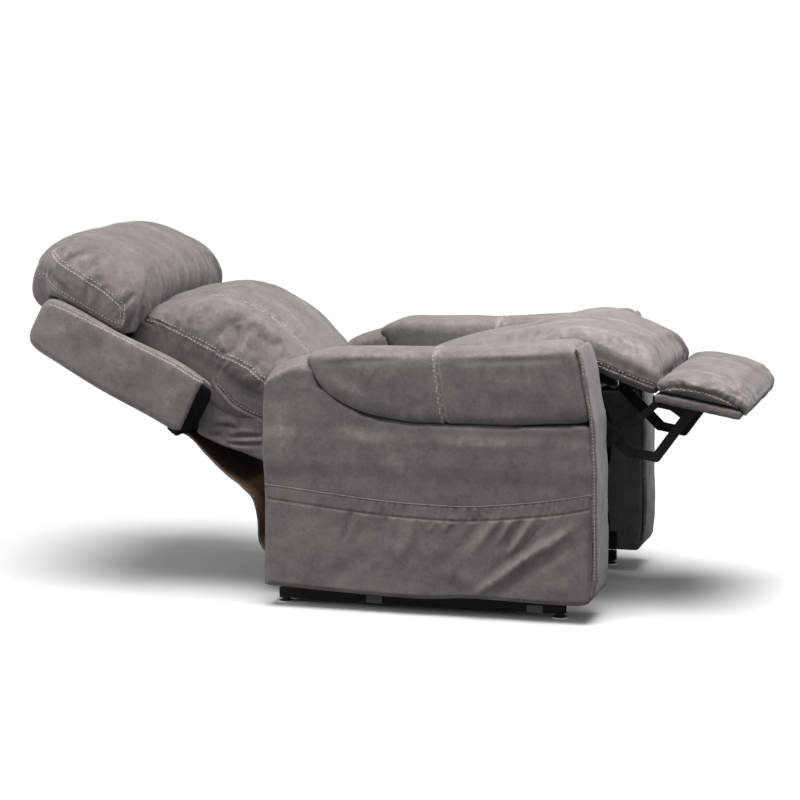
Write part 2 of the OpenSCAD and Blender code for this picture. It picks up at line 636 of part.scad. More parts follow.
// ---------- leg rest
module chaise_pad() color([0.45, 0.41, 0.38]) {
    half = foot_pad_w / 2 - 8;
    form([
        station([-6, 612], [3, 648], half - 10),
        station([8, 604], [18, 666], half),
        station([60, 596], [76, 660], half),
        station([120, 574], [140, 640], half),
        station([180, 552], [186, 620], half),
        station([205, 546], [212, 602], half - 2),
        station([210.6, 550], chaise_end, half - 12)], 3, 24, 0.5, 0);
}

module footrest_board() color([0.7, 0.55, 0.38]) slab(-foot_pad_w / 2 + 4, foot_pad_w / 2 - 4)
    polygon(rounded(rest_pts([[foot_board_w0, foot_board_n0], [foot_board_w0 + foot_board_len, foot_board_n0],
        [foot_board_w0 + foot_board_len, foot_board_n1], [foot_board_w0, foot_board_n1]]), 3));

module footrest_brackets() color([0.12, 0.12, 0.13]) both_sides() {
    slab(footrest_x, footrest_x + plate_t) {
        polygon(rounded(rest_pts([[240, foot_board_n0], [364, foot_board_n0], [352, -10], [320, -22],
            [290, -8], [262, -8], [246, -6]]), 6));
    }
    pin(bent_link_end, light_pin_r, footrest_x + plate_t - eps, bent_x + light_t + head_gap);
    pin(bent_link_end, light_pin_r + head_rim + open_bent_link, bent_x + light_t + head_gap,
        bent_x + light_t + head_gap + head_t / 2);
    pin(thin_link_end, light_pin_r, footrest_x + plate_t - eps, thin_x + light_t + head_gap);
    pin(thin_link_end, light_pin_r + head_rim, thin_x + light_t + head_gap, thin_x + light_t + head_gap + head_t);
}

module foot_pad() color([0.45, 0.41, 0.38]) {
    half = foot_pad_w / 2;
    b = foot_board_n1 + soft_gap;
    c = foot_board_n1 + foot_crown;
    e = foot_board_w0 + foot_board_len;
    form([
        station(rest_at(foot_board_w0 - 5, b + 4), rest_at(foot_board_w0 - 5, b + 22), half - 14),
        station(rest_at(foot_board_w0 + 6, b), rest_at(foot_board_w0 + 4, c - 8), half - 2),
        station(rest_at(foot_board_w0 + 60, b), rest_at(foot_board_w0 + 60, c), half),
        station(rest_at(foot_board_w0 + 140, b), rest_at(foot_board_w0 + 140, c), half),
        station(rest_at(e - 24, b), rest_at(e - 14, c - 10), half - 2),
        station(rest_at(e - 4, b + 4), rest_at(e + 6, b + 22), half - 14)], 4, 24, 0.5, 0);
}

module legrest_main_arms() color([0.12, 0.12, 0.13]) both_sides() {
    link([main_arm_pivot, bent_link_pivot], legrest_link_w + 4, 0, 0, main_arm_x, arm_t);
    headed_pin(bent_link_pivot, light_pin_r, bent_x, main_arm_x);
}
module legrest_torque_tube() color([0.14, 0.14, 0.15]) {
    torque_tube(main_arm_pivot, main_arm_x);
    lever(main_arm_pivot, legrest_lever_end, actuator_x, legrest_link_w);
}
module legrest_bent_links() color([0.1, 0.1, 0.11]) both_sides()
    link([bent_link_pivot, bent_knee, bent_link_end], legrest_link_w, light_pin_r + run_gap,
        light_pin_r + open_bent_link, bent_x, light_t);
module legrest_rear_arms() color([0.12, 0.12, 0.13]) both_sides() {
    link([rear_arm_pivot, thin_link_pivot], legrest_link_w, light_pin_r + run_gap, 0, rear_arm_x, light_t);
    headed_pin(thin_link_pivot, light_pin_r, thin_x, rear_arm_x);
}
module legrest_thin_links() color([0.1, 0.1, 0.11]) both_sides()
    link([thin_link_pivot, thin_link_end], legrest_link_w - 6, light_pin_r + run_gap,
        light_pin_r + open_thin_link, thin_x, light_t);
module legrest_motor() color([0.2, 0.2, 0.21])
    actuator_body(legrest_motor_pivot, legrest_lever_end, actuator_x, legrest_tube_len, legrest_rod_start - 76, 1);
module legrest_rod() color([0.75, 0.76, 0.78])
    actuator_rod(legrest_motor_pivot, legrest_lever_end, actuator_x, legrest_rod_start,
        pin_r + open_legrest_rod, legrest_slot);

// ---------- backrest
module back_brackets() color([0.12, 0.12, 0.13]) both_sides() slab(back_plate_x, back_plate_x + plate_t) difference() {
    union() {
        boss(back_pivot, 28);
        bar(back_pivot, back_at(58, post_v0 + 17), link_w);
        bar(back_at(58, post_v0 + 17), back_at(215, post_v0 + 17), link_w);
        bar(back_pivot, tilt_back_pivot, link_w);
    }
    translate(tilt_back_pivot) circle(light_pin_r + run_gap);
}
module back_pivot_tube() color([0.14, 0.14, 0.15]) {
    torque_tube(back_pivot, back_plate_x);
    lever(back_pivot, recline_lever_end, -actuator_x, link_w);
}
module back_posts() color([0.7, 0.55, 0.38]) both_sides() slab(back_plate_x - 28, back_plate_x)
    polygon(back_pts([[66, post_v0], [post_top, post_v0], [post_top, post_v1], [66, post_v1]]));
module back_cross_rails() color([0.7, 0.55, 0.38]) {
    for (u = [100, 290, 480, post_top - 42]) slab(-back_plate_x + 28, back_plate_x - 28)
        polygon(back_pts([[u, post_v0], [u + 40, post_v0], [u + 40, post_v1], [u, post_v1]]));
    both_sides() for (u = [300, 480, 650]) slab(back_plate_x, arm_inner_x - soft_gap)
        polygon(back_pts([[u, post_v1 - 22], [u + 30, post_v1 - 22], [u + 30, post_v1], [u, post_v1]]));
}
module back_panel() color([0.4, 0.36, 0.34]) slab(-arm_inner_x + soft_gap, arm_inner_x - soft_gap)
    polygon(rounded(back_pts([[262, post_v0 - 20], [262, post_v0], [back_len - 20, post_v0],
        [back_len - 20, post_v0 - 12], [back_len - 34, post_v0 - 20]]), 5));

module wing(side) color([0.43, 0.39, 0.36]) {
    half = (wing_span / 2 - arm_inner_x) / 2;
    form([
        station(back_at(256, -76), back_at(262, 40), half - 8),
        station(back_at(262, -94), back_at(268, 57), half),
        station(back_at(400, -97), back_at(400, 60), half),
        station(back_at(530, -102), back_at(530, 57), half),
        station(back_at(640, -98), back_at(650, 52), half),
        station(back_at(back_len - 26, -92), back_at(back_len - 14, 42), half - 1),
        station(back_at(back_len - 2, -72), back_at(back_len, 18), half - 10)], 3, 20, 0.36,
        side * (arm_inner_x + half));
}
module wing_right() wing(-1);
module wing_left() wing(1);

module lumbar_cushion() color([0.47, 0.43, 0.4]) {
    half = lumbar_w / 2;
    form([
        station(back_at(24, 52), back_at(8, 96), half - 40),
        station(back_at(40, 34), back_at(30, 150), half - 14),
        station(back_at(92, 8), back_at(89, 190), half - 6),
        station(back_at(150, -30), back_at(150, 213), half - 3),
        station(back_at(200, post_v1), back_at(200, 226), half - 1),
        station(back_at(254, post_v1), back_at(254, 234), half),
        station(back_at(332, post_v1), back_at(332, 230), half),
        station(back_at(394, post_v1), back_at(394, 204), half),
        station(back_at(436, post_v1 + 6), back_at(438, 158), half - 2),
        station(back_at(464, post_v1 + 40), back_at(473.4, 104), half - 14)], 3, 28, 0.62, 0);
}

module head_pillow() color([0.48, 0.44, 0.41]) {
    half = pillow_w / 2;
    form([
        station(back_at(486, 76), back_at(474, 104), half - 26),
        station(back_at(494, 64), back_at(486, 160), half - 6),
        station(back_at(540, 62), back_at(540, 204), half),
        station(back_at(620, 60), back_at(620, 216), half),
        station(back_at(690, 60), back_at(700, 212), half),
        station(back_at(728, 48), back_at(776, 186), half),
        station(back_at(736, 26), back_at(832, 124), half - 4),
        station(back_at(736, -6), back_at(852, 52), half - 10),
        station(back_at(742, -40), back_at(838, -18), half - 20),
        station(back_at(752, -62), back_at(800, -62), half - 40)], 3, 28, 0.5, 0);
}

module back_lower_cover() color([0.41, 0.37, 0.35]) {
    both_sides() slab(back_low_w / 2 - cloth_t, back_low_w / 2)
        polygon(rounded(back_pts([[250, 10], [250, -96], [238, -120], [156, -104], [60, -100], [20, -66],
            [-26, -24], [-24, 4], [24, 10]]), 8, 2));
    slab(-back_low_w / 2 + cloth_t + soft_gap / 2, back_low_w / 2 - cloth_t - soft_gap / 2)
        polygon(back_pts([[62, post_v0], [156, post_v0 - 14], [236, post_v0 - 32], [250, post_v0 - 14],
            [252, post_v0 - 17], [240, post_v0 - 36], [156, post_v0 - 18], [62, post_v0 - 4]]));
}

flap_line = [back_at(300, post_v0 - 24), [-1022, 408], [-990, 394], [-947, 348], [-900, 305], [-852, 272],
    [-820, 240], [-808, 188], [-806, 135], [-786, 104], [-760, 96], [rail_rear_f - soft_gap, 104]];
module back_flap() color([0.36, 0.32, 0.3]) {
    line = curve(flap_line, 3);
    last = len(line) - 1;
    normals = [for (i = [0 : last]) let (d = line[min(last, i + 1)] - line[max(0, i - 1)]) [-d.y, d.x] / norm(d)];
    slab(-back_low_w / 2 - 6, back_low_w / 2 + 6)
        polygon(concat(line, [for (i = [last : -1 : 0]) line[i] + cloth_t * normals[i]]));
}

module tilt_links() color([0.12, 0.12, 0.13]) both_sides() {
    link([tilt_back_pivot, tilt_seat_pivot], legrest_link_w - 4, 0, light_pin_r + open_tilt_link, tilt_x, light_t);
    pin(tilt_back_pivot, light_pin_r, back_plate_x - 1, tilt_x + eps);
}
module recline_motor() color([0.2, 0.2, 0.21])
    actuator_body(recline_motor_pivot, recline_lever_end, -actuator_x, recline_tube_len, recline_rod_start - 6, -1);
module recline_rod() color([0.75, 0.76, 0.78])
    actuator_rod(recline_motor_pivot, recline_lever_end, -actuator_x, recline_rod_start, pin_r + open_recline_rod);

base_side_rails();
base_cross_tubes();
base_pivot_brackets();
base_anchor_plates();
floor_glides();
lift_front_links();
lift_torque_tube();
lift_rear_links();
lift_motor();
lift_rod();
chassis_side_rails();
chassis_cross_tubes();
mechanism_side_plates();
control_box();
arm_right();
arm_left();
arm_pad_right();
arm_pad_left();
pocket_right();
pocket_left();
handset_body();
button_raise();
button_lower();
button_back_up();
button_back_down();
button_legs_up();
button_legs_down();
seat_side_rails();
seat_cross_tubes();
seat_side_boards();
seat_end_boards();
seat_webbing();
seat_cushion();
chaise_pad();
footrest_board();
footrest_brackets();
foot_pad();
legrest_main_arms();
legrest_torque_tube();
legrest_bent_links();
legrest_rear_arms();
legrest_thin_links();
legrest_motor();
legrest_rod();
back_brackets();
back_pivot_tube();
back_posts();
back_cross_rails();
back_panel();
wing_right();
wing_left();
lumbar_cushion();
head_pillow();
back_lower_cover();
back_flap();
tilt_links();
recline_motor();
recline_rod();
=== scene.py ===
"""Dresses the lift recliner chair: stuffed suede upholstery, stitching, frame finishes and a plain studio.

Side-view points are (forward, up) in millimetres, as the maker measures them: forward is ahead of the front
glides. Meshes are in metres in the chair's own frame.
"""

import json
import logging
import math
from dataclasses import dataclass, field
from enum import Enum
from typing import Callable, Sequence

import bpy
import numpy as np
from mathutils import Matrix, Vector
from mathutils.bvhtree import BVHTree

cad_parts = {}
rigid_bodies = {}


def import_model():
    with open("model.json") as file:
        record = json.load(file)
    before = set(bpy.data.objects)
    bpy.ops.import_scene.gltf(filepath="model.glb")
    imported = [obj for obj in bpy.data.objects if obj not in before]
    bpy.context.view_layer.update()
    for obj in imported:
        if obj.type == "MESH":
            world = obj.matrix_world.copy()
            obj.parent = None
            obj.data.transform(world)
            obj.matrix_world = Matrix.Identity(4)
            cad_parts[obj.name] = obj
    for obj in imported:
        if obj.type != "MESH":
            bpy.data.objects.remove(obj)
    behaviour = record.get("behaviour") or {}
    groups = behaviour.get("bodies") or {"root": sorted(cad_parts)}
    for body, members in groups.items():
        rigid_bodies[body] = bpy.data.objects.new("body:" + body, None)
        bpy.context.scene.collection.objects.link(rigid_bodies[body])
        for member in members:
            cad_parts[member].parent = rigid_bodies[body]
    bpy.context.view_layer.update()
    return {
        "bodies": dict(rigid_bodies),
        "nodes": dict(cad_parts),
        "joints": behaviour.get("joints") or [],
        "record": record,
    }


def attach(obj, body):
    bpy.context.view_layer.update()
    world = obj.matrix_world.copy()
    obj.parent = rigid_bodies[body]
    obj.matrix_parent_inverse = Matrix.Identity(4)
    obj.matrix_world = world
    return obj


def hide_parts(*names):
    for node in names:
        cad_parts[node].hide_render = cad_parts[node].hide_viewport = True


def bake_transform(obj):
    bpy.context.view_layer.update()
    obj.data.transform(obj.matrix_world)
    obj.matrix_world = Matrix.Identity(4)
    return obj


LOG = logging.getLogger("recliner")
MM = 0.001
MID_F = -506.0
Point2 = tuple[float, float]
Point3 = tuple[float, float, float]
Colour = tuple[float, float, float]
StationRow = tuple[float, float, float, float, float]
FoldRow = tuple[tuple[Point2, ...], float, float]
SweepRow = tuple[float, float, float, float, float]
LINE_PITCH = 0.004
SEARCH_PITCH = 0.012
PUCKER_PITCH = 0.019
SEAM_REACH = 0.045
CLOTH_FRAMES = 16
CLOTH_STIFFNESS = 12.0
CLOTH_BENDING = 0.4
CURVE_STEPS = 6
ROUND_RAYS = 120
RAY_START = 0.6
FLANK_X = 400.0


class Side(Enum):
    """Right or left of the sitter, as the sign of X."""

    RIGHT = -1
    LEFT = 1

    @property
    def label(self) -> str:
        """The side's word for piece names."""
        return "right" if self is Side.RIGHT else "left"


@dataclass(frozen=True)
class SideFrame:
    """A sloping frame in the side view: its origin, its direction along and its direction outwards."""

    origin: Point2
    along: Point2
    out: Point2

    def at(self, u: float, v: float) -> Point2:
        """The side-view point at u along and v outwards, in millimetres."""
        return (self.origin[0] + u * self.along[0] + v * self.out[0],
                self.origin[1] + u * self.along[1] + v * self.out[1])

    def outwards(self) -> Vector:
        """The outward direction as a vector of the chair's frame."""
        return Vector((0.0, -self.out[0], self.out[1]))


def sloped(origin: Point2, degrees: float, backwards: bool = False) -> SideFrame:
    """Makes a sloping frame.

    Args:
        origin: its origin in the side view.
        degrees: its rise above the level.
        backwards: whether its direction along points to the rear.

    Returns:
        The frame, with its outward direction up.
    """
    c, s = math.cos(math.radians(degrees)), math.sin(math.radians(degrees))
    return SideFrame(origin, (-c, s), (s, c)) if backwards else SideFrame(origin, (c, s), (-s, c))


LEVEL = SideFrame((0.0, 0.0), (1.0, 0.0), (0.0, 1.0))
SEAT = sloped((-660.0, 330.0), 20.0)
BACK = sloped((-700.0, 385.0), 28.0, backwards=True)
REST = sloped((-40.0, 565.0), -10.0)


def placed(x: float, p: Point2) -> Point3:
    """The point in metres at lateral x and side-view point p, both in millimetres."""
    return (x * MM, (MID_F - p[0]) * MM, p[1] * MM)


def side_view(co: np.ndarray) -> tuple[np.ndarray, np.ndarray]:
    """Splits points in metres into forward and up, in millimetres.

    Args:
        co: points, one to a row.

    Returns:
        The forward and the up values.
    """
    return MID_F - co[:, 1] / MM, co[:, 2] / MM


def local(co: np.ndarray, frame: SideFrame) -> tuple[np.ndarray, np.ndarray]:
    """Measures points in a sloping frame.

    Args:
        co: points in metres.
        frame: the frame.

    Returns:
        The values along and outwards, in millimetres.
    """
    f, z = side_view(co)
    f, z = f - frame.origin[0], z - frame.origin[1]
    return f * frame.along[0] + z * frame.along[1], f * frame.out[0] + z * frame.out[1]


def curve_through(points: np.ndarray, steps: int) -> np.ndarray:
    """A smooth curve through rows of numbers.

    Args:
        points: the rows to pass through.
        steps: rows made for each gap.

    Returns:
        The rows of the curve.
    """
    points = np.asarray(points, float)
    rows = []
    last = len(points) - 1
    for i in range(last):
        a, b, c, d = points[max(i - 1, 0)], points[i], points[i + 1], points[min(i + 2, last)]
        for k in range(steps):
            t = k / steps
            rows.append(0.5 * (2 * b + (c - a) * t + (2 * a - 5 * b + 4 * c - d) * t * t
                               + (3 * b - a - 3 * c + d) * t ** 3))
    rows.append(points[last])
    return np.array(rows)


def evened(line: np.ndarray, pitch: float) -> np.ndarray:
    """Spaces a line's points evenly.

    Args:
        line: points in metres.
        pitch: the spacing in metres.

    Returns:
        The evenly spaced points.
    """
    line = np.asarray(line, float)
    arc = np.concatenate([[0.0], np.cumsum(np.linalg.norm(np.diff(line, axis=0), axis=1))])
    count = max(2, int(round(arc[-1] / pitch)) + 1)
    want = np.linspace(0.0, arc[-1], count)
    return np.stack([np.interp(want, arc, line[:, k]) for k in range(3)], axis=1)


def spaced(line: np.ndarray, shares: np.ndarray) -> np.ndarray:
    """Picks places along a side-view line.

    Args:
        line: its points.
        shares: how far along each place lies, from 0 to 1 of the number of points.

    Returns:
        The places.
    """
    own = np.linspace(0, 1, len(line))
    return np.stack([np.interp(shares, own, line[:, k]) for k in (0, 1)], 1)


def unit(a: np.ndarray) -> np.ndarray:
    """Rows scaled to length one."""
    return a / np.maximum(np.linalg.norm(a, axis=-1, keepdims=True), 1e-12)


def step(x: np.ndarray, low: float, high: float) -> np.ndarray:
    """A smooth step from 0 at low to 1 at high."""
    t = np.clip((x - low) / (high - low), 0.0, 1.0)
    return t * t * (3 - 2 * t)


def soft_noise(co: np.ndarray, size: float, seed: int, layers: int = 3) -> np.ndarray:
    """Smooth noise made of crossed waves.

    Args:
        co: points in metres.
        size: the longest wave in metres.
        seed: picks the directions and phases.
        layers: how many times the wave is halved.

    Returns:
        A value for each point, mostly from -1 to 1.
    """
    rng = np.random.default_rng(seed)
    total = np.zeros(len(co))
    for layer in range(layers):
        for _ in range(5):
            way = unit(rng.normal(size=3)) * (2 * math.pi / size) * (1.7 ** layer) * rng.uniform(0.7, 1.3)
            total += np.sin(co @ way + rng.uniform(0, 2 * math.pi)) * (0.55 ** layer) * 0.35
    return total


def new_object(name: str, verts: np.ndarray, faces: Sequence[Sequence[int]]) -> bpy.types.Object:
    """Links a new mesh object with smooth shading.

    Args:
        name: the piece's name.
        verts: its points in metres.
        faces: its faces.

    Returns:
        The object.
    """
    mesh = bpy.data.meshes.new(name)
    mesh.from_pydata([tuple(v) for v in np.asarray(verts, float)], [], [tuple(f) for f in faces])
    mesh.update()
    mesh.shade_smooth()
    obj = bpy.data.objects.new(name, mesh)
    bpy.context.scene.collection.objects.link(obj)
    return obj


def ring_faces(rings: int, sides: int) -> list[tuple[int, ...]]:
    """Faces of a tube made of equal rings and closed at both ends.

    Args:
        rings: how many rings.
        sides: points in a ring.

    Returns:
        The faces.
    """
    faces: list[tuple[int, ...]] = []
    for i in range(rings - 1):
        for j in range(sides):
            k = (j + 1) % sides
            faces.append((i * sides + j, i * sides + k, (i + 1) * sides + k, (i + 1) * sides + j))
    faces.append(tuple(range(sides - 1, -1, -1)))
    faces.append(tuple((rings - 1) * sides + j for j in range(sides)))
    return faces


def applied(obj: bpy.types.Object) -> bpy.types.Object:
    """Bakes an object's modifiers into its mesh."""
    graph = bpy.context.evaluated_depsgraph_get()
    graph.update()
    mesh = bpy.data.meshes.new_from_object(obj.evaluated_get(graph))
    obj.modifiers.clear()
    old, obj.data = obj.data, mesh
    bpy.data.meshes.remove(old)
    mesh.name = obj.name
    mesh.shade_smooth()
    return obj


def points_of(obj: bpy.types.Object) -> np.ndarray:
    """The object's points, one to a row."""
    co = np.empty(len(obj.data.vertices) * 3)
    obj.data.vertices.foreach_get("co", co)
    return co.reshape(-1, 3)


def set_points(obj: bpy.types.Object, co: np.ndarray) -> None:
    """Moves the object's points."""
    obj.data.vertices.foreach_set("co", np.asarray(co, np.float32).ravel())
    obj.data.update()


def remeshed(obj: bpy.types.Object, voxel: float, smooth: int) -> bpy.types.Object:
    """Rebuilds a closed form with even quads.

    Args:
        obj: a closed mesh.
        voxel: the size of a quad in metres.
        smooth: rounds of smoothing after it.

    Returns:
        The same object.
    """
    mod = obj.modifiers.new("even", "REMESH")
    mod.mode = "VOXEL"
    mod.voxel_size = voxel
    soft = obj.modifiers.new("soft", "SMOOTH")
    soft.factor = 0.5
    soft.iterations = smooth
    return applied(obj)


def swollen(obj: bpy.types.Object, held: np.ndarray, cap: float, pressure: float,
            slack: float) -> bpy.types.Object:
    """Blows a stuffed piece up as cloth between the points that are held.

    Args:
        obj: a closed mesh of even quads.
        held: true for each point that stays.
        cap: the furthest that a point may move, in metres.
        pressure: the stuffing's pressure.
        slack: the share of spare cloth, which makes the puckers.
    """
    before = points_of(obj)
    group = obj.vertex_groups.new(name="held")
    group.add([int(i) for i in np.flatnonzero(held)], 1.0, "REPLACE")
    mod = obj.modifiers.new("cloth", "CLOTH")
    cloth = mod.settings
    cloth.quality = 4
    cloth.use_pressure = True
    cloth.uniform_pressure_force = pressure
    cloth.shrink_min = -slack
    cloth.vertex_group_mass = "held"
    cloth.effector_weights.gravity = 0.0
    cloth.tension_stiffness = cloth.compression_stiffness = CLOTH_STIFFNESS
    cloth.bending_stiffness = CLOTH_BENDING
    mod.collision_settings.use_collision = False
    mod.collision_settings.use_self_collision = False
    scene = bpy.context.scene
    for frame in range(1, CLOTH_FRAMES + 1):
        scene.frame_set(frame)
    applied(obj)
    scene.frame_set(1)
    obj.vertex_groups.clear()
    move = points_of(obj) - before
    length = np.linalg.norm(move, axis=1, keepdims=True)
    set_points(obj, before + move * np.minimum(1.0, cap / np.maximum(length, 1e-9)))
    return obj


class Relief:
    """Works a mesh's surface: seams, folds, gathers and slack, as moves along its normals."""

    def __init__(self, obj: bpy.types.Object, refine: int = 1) -> None:
        """Takes the piece up.

        Args:
            obj: the piece.
            refine: rounds of subdivision first.
        """
        if refine:
            mod = obj.modifiers.new("fine", "SUBSURF")
            mod.levels = mod.render_levels = refine
            applied(obj)
        self.obj = obj
        self.co = points_of(obj)
        normals = np.empty(len(self.co) * 3)
        obj.data.vertices.foreach_get("normal", normals)
        self.normals = normals.reshape(-1, 3)
        self.offset = np.zeros(len(self.co))
        self.shift = np.zeros_like(self.co)
        self.wear_and_highlight = np.zeros(len(self.co))
        self.tree = self._tree()

    def _tree(self) -> BVHTree:
        """A search tree of the faces as they are now."""
        return BVHTree.FromPolygons([tuple(p) for p in self.co], [tuple(f.vertices) for f in self.obj.data.polygons])

    def drop(self, points: Sequence[Point3], way: Point3) -> np.ndarray:
        """Lays points on the surface.

        Args:
            points: points in metres.
            way: the direction in which they fall on it, from outside.

        Returns:
            The points on the surface.
        """
        d = Vector(way).normalized()
        laid = []
        for p in points:
            hit = self.tree.ray_cast(Vector(p) - d * RAY_START, d)[0]
            laid.append(hit if hit is not None else self.tree.find_nearest(Vector(p))[0])
        return np.array([tuple(p) for p in laid])

    def on_side(self, side: Side, line: Sequence[Point2], frame: SideFrame = LEVEL, x: float = FLANK_X) -> np.ndarray:
        """Lays a side-view line on the flank.

        Args:
            side: which flank.
            line: its points in the frame.
            frame: the frame of the points.
            x: the lateral place where a point that misses the flank starts.

        Returns:
            A smooth line on the surface.
        """
        bent = curve_through(np.array(line, float), CURVE_STEPS)
        points = [placed(side.value * x, frame.at(u, v)) for u, v in bent]
        return evened(self.drop(points, (-side.value, 0.0, 0.0)), LINE_PITCH)

    def on_top(self, line: Sequence[tuple[float, float]], frame: SideFrame, height: float) -> np.ndarray:
        """Lays a plan line on the face.

        Args:
            line: points (x, u) in millimetres.
            frame: the frame whose outward direction is the face's.
            height: where the points start.

        Returns:
            A smooth line on the surface.
        """
        bent = curve_through(np.array(line, float), CURVE_STEPS)
        points = [placed(x, frame.at(u, height)) for x, u in bent]
        return evened(self.drop(points, tuple(-frame.outwards())), LINE_PITCH)

    def round(self, centre: Point3, normal: Point3) -> np.ndarray:
        """A closed line where a plane cuts the surface.

        Args:
            centre: a point inside the piece.
            normal: the plane's normal.

        Returns:
            The closed line.
        """
        n = Vector(normal).normalized()
        a = n.orthogonal().normalized()
        b = n.cross(a)
        found = []
        for i in range(ROUND_RAYS + 1):
            turn = 2 * math.pi * i / ROUND_RAYS
            way = a * math.cos(turn) + b * math.sin(turn)
            hit = self.tree.ray_cast(Vector(centre) + way * 0.8, -way)[0]
            if hit is not None:
                found.append(tuple(hit))
        return evened(np.array(found), LINE_PITCH)

    def near(self, line: np.ndarray, reach: float) -> tuple[np.ndarray, np.ndarray, np.ndarray, np.ndarray]:
        """Finds the points near a line.

        Args:
            line: points in metres.
            reach: how far to look, in metres.

        Returns:
            The points' numbers, their distances, how far along the line they lie, and the way from the line to them.
        """
        sparse = evened(line, SEARCH_PITCH)
        low, high = sparse.min(0) - reach, sparse.max(0) + reach
        idx = np.flatnonzero(((self.co >= low) & (self.co <= high)).all(1))
        p = self.co[idx]
        best, arc, way = np.full(len(p), 9.0), np.zeros(len(p)), np.zeros_like(p)
        run = 0.0
        for a, b in zip(sparse[:-1], sparse[1:]):
            ab = b - a
            length = float(np.linalg.norm(ab))
            t = np.clip((p - a) @ ab / max(length ** 2, 1e-12), 0, 1)
            gap = p - (a + t[:, None] * ab)
            d = np.linalg.norm(gap, axis=1)
            closer = d < best
            best[closer], arc[closer], way[closer] = d[closer], run + t[closer] * length, gap[closer]
            run += length
        keep = best < reach
        return idx[keep], best[keep], arc[keep], way[keep]

    def seam(self, line: np.ndarray, depth: float = 2.6, width: float = 3.6, swell: float = 0.8,
             pucker: float = 0.5, seed: int = 1) -> np.ndarray:
        """Draws the cloth in along a sewn line.

        Args:
            line: the seam, on the surface.
            depth: how far it draws in, in millimetres.
            width: its half width in millimetres.
            swell: how far the cloth stands up beside it, in millimetres.
            pucker: the height of the small puckers across it, in millimetres.
            seed: varies the puckers.

        Returns:
            The line, for its stitches.
        """
        idx, d, arc, _way = self.near(line, SEAM_REACH)
        d = d / MM
        self.offset[idx] -= depth * np.exp(-(d / width) ** 2)
        self.offset[idx] += swell * np.exp(-((d - 3.0 * width) / (1.6 * width)) ** 2)
        uneven = 0.6 + 0.4 * np.sin(arc * 61 + 2 * seed)
        waves = np.sin(arc * 2 * math.pi / PUCKER_PITCH + 2.5 * np.sin(arc * 23 + seed)) * uneven
        self.offset[idx] += pucker * waves * np.exp(-d / 11.0) * (1 - np.exp(-(d / width) ** 2))
        # A lighter band beside the seam: partly wear, partly a painted highlight.
        self.wear_and_highlight[idx] = np.maximum(self.wear_and_highlight[idx], 0.8 * np.exp(-((d - 1.6 * width) / width) ** 2))
        return line

    def fold(self, line: np.ndarray, height: float, width: float) -> None:
        """Raises a soft fold, or presses a crease where the height is negative.

        Args:
            line: the fold, on the surface.
            height: its height in millimetres.
            width: its half width in millimetres.
        """
        idx, d, arc, _way = self.near(line, 3.2 * width * MM)
        length = float(np.linalg.norm(np.diff(line, axis=0), axis=1).sum())
        taper = np.sin(np.clip(arc / max(length, 1e-6), 0, 1) * math.pi) ** 0.6
        self.offset[idx] += height * taper * np.exp(-(d / MM / width) ** 2)
        # The crest of a raised fold is lightened: partly wear, partly a painted highlight.
        if height > 0:
            self.wear_and_highlight[idx] = np.maximum(self.wear_and_highlight[idx], 0.55 * taper * np.exp(-(d / MM / (0.6 * width)) ** 2))

    def folds(self, side: Side, rows: Sequence[FoldRow], frame: SideFrame = LEVEL, x: float = FLANK_X) -> None:
        """Raises or presses folds along side-view lines on the flank.

        Args:
            side: which flank.
            rows: each fold's line in the frame, its height and its half width, in millimetres.
            frame: the frame of the lines.
            x: the lateral place where a point that misses the flank starts.
        """
        for line, height, width in rows:
            self.fold(self.on_side(side, line, frame, x), height, width)

    def sweeps(self, rows: Sequence[SweepRow], frame: SideFrame, above: float, bow: float, drift: float = 0.0) -> None:
        """Raises or presses long folds over the face.

        Args:
            rows: each fold's lateral place, its start and end along the frame, its height and its half width.
            frame: the frame whose outward direction is the face's.
            above: where the lines start to fall on the face.
            bow: how far the middle of each fold lies to the side.
            drift: how far its end does.
        """
        for x, start, end, height, width in rows:
            line = self.on_top([(x, start), (x + bow, (start + end) / 2), (x + drift, end)], frame, above)
            self.fold(line, height, width)

    def gathers(self, line: np.ndarray, height: float, reach: float, pitch: float, seed: int,
                towards: Point3 | None = None) -> None:
        """Gathers the cloth in pleats that run away from a line and fade at both its ends.

        Args:
            line: the drawn-in edge.
            height: the pleats' height in millimetres.
            reach: how far they fade over, in millimetres.
            pitch: their spacing in millimetres.
            seed: varies them.
            towards: the side that they are on, or both where None.
        """
        idx, d, arc, way = self.near(line, 3.0 * reach * MM)
        length = float(np.linalg.norm(np.diff(line, axis=0), axis=1).sum())
        rng = np.random.default_rng(seed)
        phase = arc / (pitch * MM) * 2 * math.pi
        for k in (5.0, 11.0, 17.0):
            phase = phase + rng.uniform(0.5, 1.1) * np.sin(arc / max(length, 1e-6) * k + rng.uniform(0, 6))
        strength = 0.55 + 0.45 * np.sin(arc * 37 + rng.uniform(0, 6))
        uneven = reach * (0.75 + 0.35 * np.sin(arc * 71 + rng.uniform(0, 6))
                          + 0.2 * np.sin(arc * 133 + rng.uniform(0, 6)))
        shape = np.sin(phase) * strength * np.exp(-(d / MM / np.maximum(uneven, 0.3 * reach)) ** 2)
        if towards is not None:
            shape *= ((way @ np.array(towards, float)) > -0.002)
        shape *= np.sin(np.clip(arc / max(length, 1e-6), 0, 1) * math.pi) ** 0.5
        self.offset[idx] += height * shape
        # The pleats' crests are lightened: partly wear, partly a painted highlight.
        self.wear_and_highlight[idx] = np.maximum(self.wear_and_highlight[idx], 0.4 * np.clip(shape, 0, 1))

    def slack(self, height: float, size: float, seed: int) -> None:
        """Adds the broad unevenness of stuffing.

        Args:
            height: in millimetres.
            size: the longest wave in metres.
            seed: varies it.
        """
        self.offset += height * soft_noise(self.co, size, seed)

